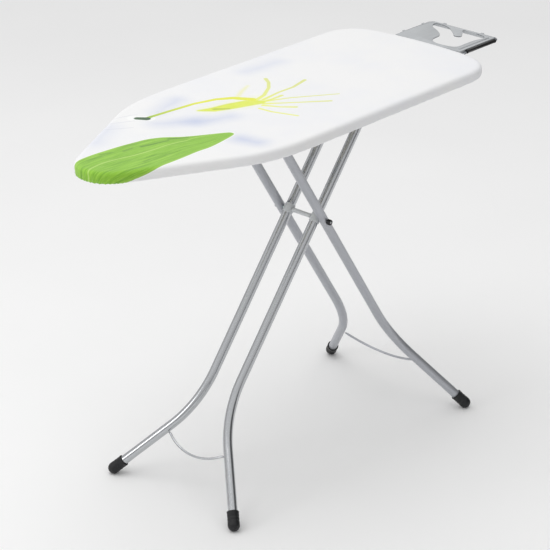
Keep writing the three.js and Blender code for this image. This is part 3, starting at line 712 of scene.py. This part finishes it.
def edge_place(run):
    """The outline's point and outward direction at a signed distance from the nose tip."""
    far = min(max(abs(run), 0.0), FULL_RUN - 1e-6)
    low, high = 0, len(LENGTHS) - 1
    while high - low > 1:
        half = (low + high) // 2
        low, high = (half, high) if LENGTHS[half] <= far else (low, half)
    share = (far - LENGTHS[low]) / (LENGTHS[high] - LENGTHS[low])
    spot = HALF[low].lerp(HALF[high], share)
    before, after = HALF[max(low - 1, 0)], HALF[min(high + 1, len(HALF) - 1)]
    if low == 0:
        before = Vector((HALF[1].x, -HALF[1].y))
    if high == len(HALF) - 1:
        after = Vector((HALF[-2].x, -HALF[-2].y))
    along = (after - before).normalized()
    out = Vector((-along.y, along.x))
    side = -1 if run < 0 else 1
    return Vector((spot.x, side * spot.y)), Vector((out.x, side * out.y))


def inset_place(run, inset):
    spot, out = edge_place(run)
    return spot - out * inset


print("edge of the top is", round(2 * FULL_RUN, 3), "m round")

# %% [markdown]
# ## A cloth grid that fits the outline
#
# Cloth follows its own threads, so its mesh should be a grid and not a fan of triangles. A flat grid is
# added and each of its vertices is moved to a blend of the four edges of the outline, which is known as
# a Coons patch. Every edge vertex keeps a note of how far round the edge it is. Extruded rings inherit
# that note, so the same note places the rolled edge, the side band and the hem.

# %% Helper: the grid
def cloth_grid(name, columns, rows, inset, z):
    clear()
    bpy.ops.mesh.primitive_grid_add(x_subdivisions=columns, y_subdivisions=rows, size=2, location=(0, 0, 0))
    piece = named(name)
    notes = piece.data.attributes.new("run", "FLOAT", "POINT")
    straight = CORNER_RUN - NOSE_RUN

    def far_edge(u):
        return NOSE_RUN + straight * u

    def nose_edge(v):
        return (2 * v - 1) * NOSE_RUN

    def rear_edge(v):
        turn = 2 * v - 1
        run = FULL_RUN - abs(turn) * (FULL_RUN - CORNER_RUN)
        return run if turn >= 0 else -run

    def spot(run):
        return inset_place(run, inset)

    corners = {(u, v): spot(far_edge(u) * (1 if v else -1)) for u in (0, 1) for v in (0, 1)}
    for index, vertex in enumerate(piece.data.vertices):
        u, v = (vertex.co.x + 1) / 2, (vertex.co.y + 1) / 2
        near, far = spot(-far_edge(u)), spot(far_edge(u))
        nose, rear = spot(nose_edge(v)), spot(rear_edge(v))
        place = near * (1 - v) + far * v + nose * (1 - u) + rear * u
        for (a, b), corner in corners.items():
            place = place - corner * (u if a else 1 - u) * (v if b else 1 - v)
        edge_run = {
            "nose": nose_edge(v) if u < 1e-6 else None,
            "rear": rear_edge(v) if u > 1 - 1e-6 else None,
            "near": -far_edge(u) if v < 1e-6 else None,
            "far": far_edge(u) if v > 1 - 1e-6 else None,
        }
        known = [run for run in edge_run.values() if run is not None]
        notes.data[index].value = known[0] if known else 0.0
        vertex.co = (place.x, place.y, z)
    return piece


def select_open_edge():
    bpy.ops.mesh.select_all(action="DESELECT")
    bpy.ops.mesh.select_non_manifold(extend=False, use_wire=False, use_boundary=True,
                                     use_multi_face=False, use_non_contiguous=False, use_verts=False)


def edge_ring(piece, place, reach=None):
    """In edit mode, extrudes the open edge once and puts each new vertex at place(its run).

    With a reach, the vertex also notes where it would lie if the cloth were unrolled flat, at that
    distance outside the outline.
    """
    select_open_edge()
    extrude()
    mesh = bmesh.from_edit_mesh(piece.data)
    note = mesh.verts.layers.float["run"]
    for vertex in mesh.verts:
        if vertex.select:
            vertex.co = place(vertex[note])
            if reach is not None:
                spot, out = edge_place(vertex[note])
                flat_spot = spot + out * reach
                vertex[mesh.verts.layers.float_vector["print_place"]] = (flat_spot.x, flat_spot.y, 0)
    bmesh.update_edit_mesh(piece.data)


# %% [markdown]
# ## The cotton cover
#
# The cover is one piece of cotton, drawn tight over the pad and turned under the rim in a rolled
# hem. Its edge rolls over the foam in a soft round, its side band ripples a little, and where the cloth
# goes round the tight nose it has more fullness than it needs, so small pleats form there. The pleats
# are real waves in the mesh. A stretched cloth on a board needs no simulation, since the pad decides
# its shape: the edge rings are placed one by one instead.

# %% The cover
COVER_SKIN = 1.0 * MM
COVER_COLUMNS = 250
COVER_ROWS = 84
EDGE_RINGS = [
    # inset from the outline and depth below the top, in millimetres
    (9.5, 0.8), (6.2, 1.7), (3.4, 3.4), (1.4, 6.0), (0.4, 9.4), (0.0, 13.0), (0.0, 17.0), (0.3, 20.8),
    (1.0, 23.7), (2.6, 25.6), (5.5, 26.2), (12.0, 25.8), (20.0, 25.5), (28.0, 25.4), (36.0, 25.5),
    (41.0, 25.9), (44.0, 26.2), (46.4, 25.4), (47.0, 23.8), (45.6, 22.6), (43.8, 23.2),
]


def nose_share(run):
    """1 at the nose, fading to 0 on the straight taper."""
    return math.exp(-((abs(run) / 0.15) ** 2))


def pleats(run):
    """Uneven waves along the edge, from -1 to 1, tighter at the nose than along the sides."""
    tight = math.sin(run * 620 + 1.7 * math.sin(run * 83)) * 0.7 + math.sin(run * 1130 + 0.6) * 0.3
    loose = math.sin(run * 190 + 2.1 * math.sin(run * 27)) * 0.6 + math.sin(run * 77 + 1.1) * 0.4
    share = nose_share(run)
    return tight * share + loose * (1 - share)


def cover_place(inset, depth):
    """Where one edge ring of the cover lies, with its ripples."""
    hang = min(max((depth - 5) / 17, 0), 1)
    under = min(max((inset - 4) / 36, 0), 1)

    def place(run):
        share = nose_share(run)
        wave = pleats(run)
        side_wave = wave * hang * (1 - under) * (0.25 + 0.75 * share)
        hem_wave = wave * under * 0.9
        spot = inset_place(run, (inset - side_wave) * MM)
        drop = depth + wave * hang * (1 - under) * (0.25 + 0.3 * share) + hem_wave
        return Vector((spot.x, spot.y, TOP_Z - min(drop, 27.2) * MM))

    return place


GRID_INSET = 13
cover = cloth_grid("cover_fine", COVER_COLUMNS, COVER_ROWS, GRID_INSET * MM, TOP_Z)
print_places = cover.data.attributes.new("print_place", "FLOAT_VECTOR", "POINT")
for index, vertex in enumerate(cover.data.vertices):
    print_places.data[index].vector = (vertex.co.x, vertex.co.y, 0)
for vertex in cover.data.vertices:
    long_wave = math.sin(vertex.co.x * 11 + 2.0 * vertex.co.y) * math.sin(vertex.co.y * 17 + 0.8)
    edge_gap = 1 - max(abs(vertex.co.y) / HALF_WIDTH, 0) ** 6
    vertex.co.z = TOP_Z - 0.45 * MM + 0.22 * MM * long_wave * edge_gap
edit(cover, "EDGE")
unrolled = -GRID_INSET
last_inset, last_depth = GRID_INSET, 0.45
for inset, depth in EDGE_RINGS:
    unrolled += math.hypot(inset - last_inset, depth - last_depth)
    edge_ring(cover, cover_place(inset, depth), unrolled * MM)
    last_inset, last_depth = inset, depth
done()
outward(cover)
apply(cover, "SOLIDIFY", thickness=COVER_SKIN, offset=-1)
smooth(cover, 60)

# %% [markdown]
# ## The cover's printed cotton
#
# The print is a plant study in a few strokes: one big green leaf at the nose, a long pistil, a spray of
# thin stamens, and pale lavender shadows. Painting it as an image would tie it to a file, so it is
# drawn by the material. A small node group answers one question: how near is this point to a line that
# narrows from one end to the other? Each stroke is one copy of that group. Lengths here are in
# millimetres on the cloth laid flat. Each edge ring has noted where it would lie if it were unrolled, so
# the print runs on round the edge as it does on real cloth, without stretching down the side band.

# %% The stroke group
def stroke_group():
    group = bpy.data.node_groups.new("print_stroke", "ShaderNodeTree")
    sockets = group.interface
    for title, kind in (("Place", "Vector"), ("From", "Vector"), ("To", "Vector"), ("Start", "Float"),
                        ("End", "Float"), ("Soft", "Float")):
        sockets.new_socket(title, in_out="INPUT", socket_type="NodeSocket" + kind)
    sockets.new_socket("Ink", in_out="OUTPUT", socket_type="NodeSocketFloat")
    given = group.nodes.new("NodeGroupInput").outputs

    def vector(operation, a, b, output=0):
        return node(group, "ShaderNodeVectorMath", {0: a, 1: b}, operation=operation).outputs[output]

    offset = vector("SUBTRACT", given["Place"], given["From"])
    line = vector("SUBTRACT", given["To"], given["From"])
    dot = vector("DOT_PRODUCT", offset, line, "Value")
    size = vector("DOT_PRODUCT", line, line, "Value")
    share = maths(group, "DIVIDE", dot, size, clamp=True)
    scaled = {0: line, "Scale": share}
    nearest = node(group, "ShaderNodeVectorMath", scaled, operation="SCALE").outputs[0]
    gap = vector("DISTANCE", offset, nearest, "Value")
    width = node(group, "ShaderNodeMapRange", {0: share, 3: given["Start"], 4: given["End"]}).outputs[0]
    over = maths(group, "SUBTRACT", gap, width)
    inner = maths(group, "MULTIPLY", given["Soft"], -1.0)
    limits = {0: over, 1: given["Soft"], 2: inner, 3: 0.0, 4: 1.0}
    ink = node(group, "ShaderNodeMapRange", limits, interpolation_type="SMOOTHSTEP").outputs[0]
    node(group, "NodeGroupOutput", {"Ink": ink})
    return group


STROKE = stroke_group()


def stroke(tree, place, start, end, start_width, end_width, soft=1.0):
    made = node(tree, "ShaderNodeGroup", node_tree=STROKE)
    tree.links.new(place, made.inputs["Place"])
    made.inputs["From"].default_value = (*start, 0)
    made.inputs["To"].default_value = (*end, 0)
    made.inputs["Start"].default_value = start_width
    made.inputs["End"].default_value = end_width
    made.inputs["Soft"].default_value = soft
    return made.outputs[0]


def chain(tree, place, points, soft=1.0):
    """Ink of a line through several points, each (x, y, half width)."""
    total = None
    for (ax, ay, aw), (bx, by, bw) in zip(points, points[1:]):
        ink = stroke(tree, place, (ax, ay), (bx, by), aw, bw, soft)
        total = ink if total is None else maths(tree, "MAXIMUM", total, ink)
    return total


def shaped(tree, value, points):
    """A value from 0 to 1, turned into another by a drawn curve."""
    made = node(tree, "ShaderNodeFloatCurve", {"Value": value})
    curve = made.mapping.curves[0]
    while len(curve.points) < len(points):
        curve.points.new(0.5, 0.5)
    for point, (x, y) in zip(curve.points, points):
        point.location = (x, y)
    made.mapping.update()
    return made.outputs[0]


# %% [markdown]
# The leaf is drawn by two curves: where its middle runs across the top, and how wide it is there. The
# same two numbers give each point a position across the leaf, which carries the veins and the midrib.

# %% The printed cotton
LEAF_START, LEAF_END = -650, -282
LEAF_MIDDLE = [(-650, -22), (-618, -21), (-534, -29), (-474, -34), (-421, -40), (-364, -63), (-320, -74),
               (-282, -82)]
LEAF_WIDTH = [(-650, 60), (-618, 66), (-590, 70), (-534, 73), (-474, 70), (-421, 62), (-364, 40), (-320, 23),
              (-293, 12), (-285, 7), (-282, 0)]
LEAF_RIB = [(-650, 0.10), (-618, 0.24), (-581, 0.28), (-492, 0.13), (-430, 0.16), (-399, 0.24),
            (-356, 0.62), (-300, 0.9)]
# dark patches of the leaf: ends, half width, strength
LEAF_PATCHES = [
    ((-470, 6), (-408, -10), 3.5, 0.8), ((-400, -4), (-366, -28), 3, 0.85),
    ((-515, 14), (-492, 12), 2.6, 0.6), ((-560, 36), (-536, 28), 3, 0.55),
    ((-528, -60), (-512, -60), 1.6, 0.6),
]

STAMENS = [
    [(-98, 20, 5), (-61, 29, 4.6), (-18, 54, 4.2), (8, 78, 4.2), (22, 100, 5)],
    [(-84, 10, 4.2), (-26, 17, 3.4), (23, 16, 3.8), (76, 28, 4.6)],
    [(-98, 2, 4.4), (-69, -2, 3.4), (-36, -2, 4.4)],
    [(-92, 2, 3.8), (-34, -27, 2.8), (58, -90, 2.4)],
    [(-103, -9, 3.8), (-47, -58, 3.0), (11, -107, 3.8)],
    [(-112, -14, 4.2), (-93, -50, 3.4), (-71, -76, 4.6)],
    [(-132, -22, 3.8), (-129, -57, 3.2), (-110, -116, 3.0)],
]
PISTIL = [(-342, 119, 5.2), (-275, 113, 4.8), (-207, 106, 5.0), (-154, 90, 6.0), (-122, 68, 8),
          (-100, 30, 10)]
OVARY = [(-232, 68, 4), (-204, 48, 13), (-164, 35, 18), (-128, 22, 18), (-100, 4, 11)]
SHADOWS = [
    # centre line, half width, softness, strength
    ((-300, 128), (-215, 150), 9, 42, 0.85), ((-352, 78), (-285, 28), 10, 44, 0.95),
    ((-290, 20), (-210, -10), 7, 40, 0.75), ((-297, -120), (-288, -160), 14, 34, 1.0),
    ((30, 165), (130, 160), 10, 40, 0.5), ((-430, 140), (-520, 90), 10, 40, 0.5),
]
PETAL_LINES = [
    [(-420, 152, 0.5), (-392, 136, 0.9), (-372, 126, 0.5)],
    [(-410, 172, 0.5), (-366, 160, 0.9), (-340, 150, 0.4)],
    [(-470, 150, 0.5), (-430, 118, 0.8), (-404, 100, 0.4)],
]


def printed_cotton():
    made, tree, shader, spot = finish("printed_cotton", sheen=0.25)
    shader.inputs["Sheen Roughness"].default_value = 0.6

    def vector(operation, a, b):
        return node(tree, "ShaderNodeVectorMath", {0: a, 1: b}, operation=operation).outputs[0]

    def times(a, b):
        return maths(tree, "MULTIPLY", a, b)

    def paint(under, ink, strength, rgb):
        """Covers a colour with another where there is ink."""
        return mix(tree, times(ink, strength), under, light(rgb))

    def fade(value, low, high, how="LINEAR"):
        """0 where the value is low, 1 where it is high."""
        limits = {0: value, 1: low, 2: high}
        return node(tree, "ShaderNodeMapRange", limits, interpolation_type=how).outputs[0]

    unrolled_place = node(tree, "ShaderNodeAttribute", attribute_name="print_place").outputs["Vector"]
    flat = vector("MULTIPLY", unrolled_place, (1000, 1000, 0))
    wander = node(tree, "ShaderNodeTexNoise", {"Vector": spot, "Scale": 9, "Detail": 3}).outputs["Color"]
    shift = vector("MULTIPLY", vector("SUBTRACT", wander, (0.5, 0.5, 0.5)), (9, 9, 0))
    place = vector("ADD", flat, shift)
    flat_x, flat_y = node(tree, "ShaderNodeSeparateXYZ", {0: flat}).outputs[:2]

    # bare cloth with the faintest clouding
    clouds = noise(tree, spot, 5, 4)
    cloudy = ramp(tree, clouds, [(0.4, 0.0), (0.7, 1.0)])
    colour = mix(tree, cloudy, light((243, 243, 243)), light((238, 239, 243)))

    # lavender shadows
    broken = ramp(tree, clouds, [(0.25, 0.5), (0.7, 1.0)])
    for start, end, width, soft, strength in SHADOWS:
        ink = times(stroke(tree, place, start, end, width, width, soft), broken)
        colour = paint(colour, ink, strength, (188, 198, 228))
    for points in PETAL_LINES:
        colour = paint(colour, chain(tree, place, points, 2.6), 0.5, (190, 195, 210))

    # yellow glow, stamens, ovary and pistil
    colour = paint(colour, stroke(tree, place, (-215, 58), (-95, 10), 10, 22, 30), 0.75, (244, 248, 180))
    along = maths(tree, "MULTIPLY", maths(tree, "ADD", flat_x, 100.0), 0.008, clamp=True)
    stamen_yellow = mix(tree, along, light((236, 242, 96)), light((222, 228, 120)))
    for points in STAMENS:
        colour = mix(tree, times(chain(tree, flat, points, 1.3), 0.85), colour, stamen_yellow)
    petal = chain(tree, flat, [(-108, 66, 5), (-74, 84, 5), (-40, 98, 3)], 6)
    colour = paint(colour, petal, 0.55, (238, 240, 140))
    mottle = noise(tree, spot, 60, 3)
    ovary_yellow = mix(tree, mottle, light((214, 230, 62)), light((236, 242, 108)))
    colour = mix(tree, chain(tree, flat, OVARY, 4), colour, ovary_yellow)
    colour = paint(colour, stroke(tree, flat, (-202, 49), (-178, 27), 3, 1.5, 5), 0.8, (132, 160, 44))
    toward = fade(flat_x, -345.0, -190.0)
    style_green = mix(tree, toward, light((168, 200, 66)), light((232, 236, 74)))
    colour = mix(tree, chain(tree, flat, PISTIL, 1.2), colour, style_green)
    colour = paint(colour, stroke(tree, flat, (-362, 141), (-341, 113), 14, 14, 2), 0.8, (250, 251, 250))
    colour = paint(colour, stroke(tree, flat, (-345, 118), (-330, 118), 5.4, 5.4, 1.4), 1.0, (160, 196, 70))
    stigma = stroke(tree, flat, (-357, 133), (-345, 116), 7.5, 9.0, 2.0)
    colour = mix(tree, stigma, colour, mix(tree, mottle, light((38, 66, 44)), light((86, 122, 84))))

    # the leaf: its shape
    def along_leaf(points, low, high):
        span = LEAF_END - LEAF_START
        curve = [((x - LEAF_START) / span, (y - low) / (high - low)) for x, y in points]
        value = shaped(tree, fade(flat_x, float(LEAF_START), float(LEAF_END)), curve)
        return node(tree, "ShaderNodeMapRange", {0: value, 3: low, 4: high}).outputs[0]

    leaf_middle = along_leaf(LEAF_MIDDLE, -100.0, 0.0)
    leaf_width = along_leaf(LEAF_WIDTH, 0.0, 100.0)
    rib = along_leaf(LEAF_RIB, 0.0, 1.0)
    place_y = node(tree, "ShaderNodeSeparateXYZ", {0: place}).outputs[1]
    half_shift = times(maths(tree, "SUBTRACT", place_y, flat_y), 0.5)
    across = maths(tree, "SUBTRACT", maths(tree, "ADD", flat_y, half_shift), leaf_middle)
    over = maths(tree, "SUBTRACT", maths(tree, "ABSOLUTE", across), leaf_width)
    inside = times(fade(over, 0.8, -0.8, "SMOOTHSTEP"), maths(tree, "LESS_THAN", flat_x, float(LEAF_END)))
    white_edge = times(fade(over, 4.0, 1.0), maths(tree, "LESS_THAN", flat_x, float(LEAF_END + 4)))
    share = maths(tree, "DIVIDE", across, maths(tree, "ADD", leaf_width, 0.01))

    # its green, with fibres, midrib, dark patches and a pale rim
    fibre_inputs = {0: times(flat_x, 0.006), 1: times(share, 7.0)}
    fibre_place = node(tree, "ShaderNodeCombineXYZ", fibre_inputs).outputs[0]
    green = ramp(tree, noise(tree, fibre_place, 1.6, 4), [
        (0.30, light((104, 158, 36))), (0.45, light((134, 190, 50))),
        (0.60, light((146, 201, 58))), (0.75, light((166, 214, 78)))])
    fine = ramp(tree, noise(tree, fibre_place, 7.0, 2), [(0.5, 0.0), (0.75, 0.45)])
    green = mix(tree, fine, green, light((186, 222, 122)))
    from_rib = maths(tree, "ABSOLUTE", maths(tree, "SUBTRACT", share, rib))
    green = paint(green, fade(from_rib, 0.05, 0.012, "SMOOTHSTEP"), 0.75, (188, 224, 116))
    for start, end, width, strength in LEAF_PATCHES:
        patch = stroke(tree, place, start, end, width, width * 0.6, 4)
        green = paint(green, patch, strength, (92, 136, 50))
    green = paint(green, fade(over, -7.0, -1.0), 0.5, (176, 214, 96))
    colour = paint(colour, white_edge, 0.8, (250, 251, 249))
    colour = mix(tree, inside, colour, green)
    tree.links.new(colour, shader.inputs["Base Color"])
    shader.inputs["Roughness"].default_value = 0.88
    shader.inputs["Specular IOR Level"].default_value = 0.25

    # plain weave: fine threads both ways, and the soft unevenness of tight cloth
    threads = None
    for direction in ("X", "Y", "Z"):
        wave_inputs = {"Vector": spot, "Scale": 420, "Distortion": 0.6, "Detail": 1.0}
        wave = node(tree, "ShaderNodeTexWave", wave_inputs, bands_direction=direction).outputs["Fac"]
        threads = wave if threads is None else maths(tree, "ADD", threads, wave)
    height = maths(tree, "ADD", times(threads, 0.3), noise(tree, spot, 120, 3))
    bump(tree, shader, height, 0.00018, 0.35)
    return made


COTTON = printed_cotton()
finish_piece(cover, "board", "cover", COTTON, "cover")

# %% [markdown]
# ## The foam pad
#
# Under the cotton lies a thin foam pad, cut to the same outline. It is the same kind of grid, a little
# smaller, thickened downward, with a soft rolled edge. It is crowned: the middle stands a touch higher
# than the edge.

# %% The pad
pad_low, pad_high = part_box("foam_pad")
pad_thick = pad_high.z - pad_low.z
pad = cloth_grid("foam_pad_fine", 110, 40, 6 * MM, pad_high.z - 1.0 * MM)
for vertex in pad.data.vertices:
    crown = max(0.0, 1 - (vertex.co.y / HALF_WIDTH) ** 2)
    vertex.co.z += 0.4 * MM * crown
edit(pad, "EDGE")
for inset, drop in ((4.2, 1.6), (3.0, 2.6), (2.4, 3.8), (2.4, 5.2), (3.2, 6.4)):
    edge_ring(pad, lambda run, inset=inset, drop=drop: Vector(
        (*inset_place(run, inset * MM), pad_high.z - drop * MM)))
edge_ring(pad, lambda run: Vector((*inset_place(run, 6 * MM), pad_low.z + 0.1 * MM)))
select_open_edge()
bpy.ops.mesh.edge_face_add()
done()
outward(pad)
smooth(pad, 50)
finish_piece(pad, "board", "foam", FOAM, "foam_pad")
print("pad:", len(pad.data.polygons), "faces,", round(pad_thick / MM, 1), "mm thick")

# %% [markdown]
# ## The expanded metal deck
#
# The deck is sheet steel that was slit and pulled open into diamonds, so that steam can pass through.
# Poking every face of a grid draws both of its diagonals, and dissolving the old grid lines leaves only
# the diamonds. The cells outside the rim are deleted, and the Wireframe modifier turns each edge that
# is left into a flat strand.

# %% The deck
DIAMOND_LONG = 26 * MM
DIAMOND_SHORT = 11 * MM
STRAND = 2.0 * MM
mesh_low, mesh_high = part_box("mesh_top")
deck_columns = int((mesh_high.x - mesh_low.x) / DIAMOND_LONG)
deck_rows = int((mesh_high.y - mesh_low.y) / DIAMOND_SHORT)
deck_z = (mesh_low.z + mesh_high.z) / 2


def half_width_at(x, inset):
    """Half width of the top at a distance along it, less an inset."""
    best = 0.0
    for before, after in zip(HALF, HALF[1:]):
        if before.x <= x <= after.x:
            best = before.y + (after.y - before.y) * (x - before.x) / max(after.x - before.x, 1e-9)
    if x > REAR_X - inset or x < NOSE_X + inset:
        return 0.0
    return best - inset


clear()
bpy.ops.mesh.primitive_grid_add(x_subdivisions=deck_columns, y_subdivisions=deck_rows, size=1,
                                location=(0, 0, 0))
deck = named("mesh_top_fine")
deck.scale = (deck_columns * DIAMOND_LONG, deck_rows * DIAMOND_SHORT, 1)
deck.location = (mesh_high.x - deck_columns * DIAMOND_LONG / 2, 0, deck_z)
settle(deck)
edit_all(deck, "EDGE")
bpy.ops.mesh.poke()
pick(deck, "EDGE", lambda e: abs(e.verts[0].co.x - e.verts[1].co.x) < 1e-6
     or abs(e.verts[0].co.y - e.verts[1].co.y) < 1e-6)
bpy.ops.mesh.dissolve_edges(use_verts=False)
bpy.ops.mesh.select_mode(type="FACE")
pick(deck, "FACE", lambda f: any(abs(v.co.y) > half_width_at(v.co.x, 5.5 * MM) for v in f.verts))
bpy.ops.mesh.delete(type="FACE")
done()
apply(deck, "WIREFRAME", thickness=STRAND, use_even_offset=True, use_replace=True, use_boundary=True)
flatten = 0.6 * (mesh_high.z - mesh_low.z) / STRAND + 0.1
for vertex in deck.data.vertices:
    vertex.co.z = deck_z + (vertex.co.z - deck_z) * flatten
finish_piece(deck, "board", "zinc_steel", ZINC, "mesh_top")
print("deck:", deck_columns, "by", deck_rows, "diamonds,", len(deck.data.polygons), "faces")

# %% [markdown]
# ## The iron rest
#
# The rest is a stamped plate with a large smooth opening, held in a bent wire. Its sheet edges are
# folded down, and so is the lip of the opening. The lip wears the darker wire finish instead of the
# plate's coat, so that it shows as a dark line on the far side: painted shade of a shadowed lip. A rib is
# pressed along the near side to stiffen it. The plate is a finished copy; the lip starts as the walls of
# its own opening, duplicated, drawn deeper and thickened.

# %% The rest plate
rest_low, rest_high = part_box("rest_plate")
PLATE_SKIN = 1.5 * MM
LIP_DEPTH = 2.5 * MM
finished_copy("rest_plate", "board", "rest_steel", PLATE, 0.35)

lip = bpy.data.objects.new("rest_lip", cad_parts["rest_plate"].data.copy())
scene.collection.objects.link(lip)
edit_all(lip, "FACE")
bpy.ops.mesh.remove_doubles(threshold=2e-6)
bpy.ops.mesh.select_all(action="DESELECT")
LIP_MARGIN = 4 * MM


def opening_wall(face):
    middle_point = face.calc_center_median()
    upright = abs(face.normal.z) < 0.2
    inside = (rest_low.x + LIP_MARGIN < middle_point.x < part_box("rest_wire")[1].x - 14 * MM
              and abs(middle_point.y) < 94 * MM)
    return upright and inside and middle_point.z > rest_high.z - 2 * MM


pick(lip, "FACE", lambda face: not opening_wall(face))
bpy.ops.mesh.delete(type="FACE")
bpy.ops.mesh.select_mode(type="VERT")
pick(lip, "VERT", lambda v: v.co.z < rest_high.z - PLATE_SKIN / 2)
bpy.ops.transform.translate(value=(0, 0, -LIP_DEPTH + PLATE_SKIN))
pick(lip, "VERT", lambda v: v.co.z > rest_high.z - PLATE_SKIN / 2)
bpy.ops.transform.translate(value=(0, 0, -0.3 * MM))
done()
apply(lip, "SOLIDIFY", thickness=1.1 * MM, offset=-1)
smooth(lip, 40)
# The lip takes the darker bright wire finish rather than the plate's coat: painted shade, so that the lip
# reads as a dark line.
finish_piece(lip, "board", "rest_steel", WIRE)
print("lip:", len(lip.data.polygons), "faces")

# %% [markdown]
# The pressed rib is a low half round: a cylinder is laid along the plate, its lower half is cut away
# with bisect, what is left is pressed flat, and a bevel rounds its edges.

# %% The pressed rib, the wire and the sleeve
RIB_Y = -86 * MM
RIB_FOOT_Z = rest_high.z - 0.2 * MM
RIB_R = 3.2 * MM
rib_from, rib_to = rest_low.x + 14 * MM, rest_high.x - 22 * MM
clear()
bpy.ops.mesh.primitive_cylinder_add(vertices=24, radius=RIB_R, depth=rib_to - rib_from,
                                    location=((rib_from + rib_to) / 2, RIB_Y, RIB_FOOT_Z),
                                    rotation=(0, math.radians(90), 0))
rib = named("rest_rib")
settle(rib)
edit_all(rib)
bpy.ops.mesh.bisect(plane_co=(0, 0, RIB_FOOT_Z), plane_no=(0, 0, 1), use_fill=True, clear_inner=True)
bpy.ops.mesh.select_all(action="SELECT")
bpy.ops.transform.resize(value=(1, 1, 0.7), center_override=(0, 0, RIB_FOOT_Z))
done()
outward(rib)
apply(rib, "BEVEL", width=0.8 * MM, segments=3, limit_method="ANGLE", angle_limit=math.radians(50))
smooth(rib, 40)
finish_piece(rib, "board", "rest_steel", PLATE)

finished_copy("rest_wire", "board", "rest_wire", WIRE, rounds=1)
sleeve_low, sleeve_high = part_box("rest_sleeve")
sleeve_long = (sleeve_high.x - sleeve_low.x) / MM
SLEEVE_TURN = [
    (3.4, 0), (4.2, 0), (4.8, 0.6), (4.8, 3.4), (4.4, 4.2), (4.4, sleeve_long - 4.2),
    (4.8, sleeve_long - 3.4),
    (4.8, sleeve_long - 0.6), (4.2, sleeve_long), (3.4, sleeve_long), (3.4, 0),
]
sleeve = turned("rest_sleeve_fine", SLEEVE_TURN, 28)
smooth(sleeve, 40)
sleeve.data.transform(Matrix.Translation((sleeve_low.x, middle("rest_sleeve").y, middle("rest_sleeve").z))
                      @ Matrix.Rotation(math.radians(90), 4, "Y"))
finish_piece(sleeve, "board", "silicone", SILICONE, "rest_sleeve")
print("iron rest finished")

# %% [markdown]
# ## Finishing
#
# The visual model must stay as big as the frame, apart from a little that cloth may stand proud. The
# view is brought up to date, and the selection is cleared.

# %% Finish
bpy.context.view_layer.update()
clear()
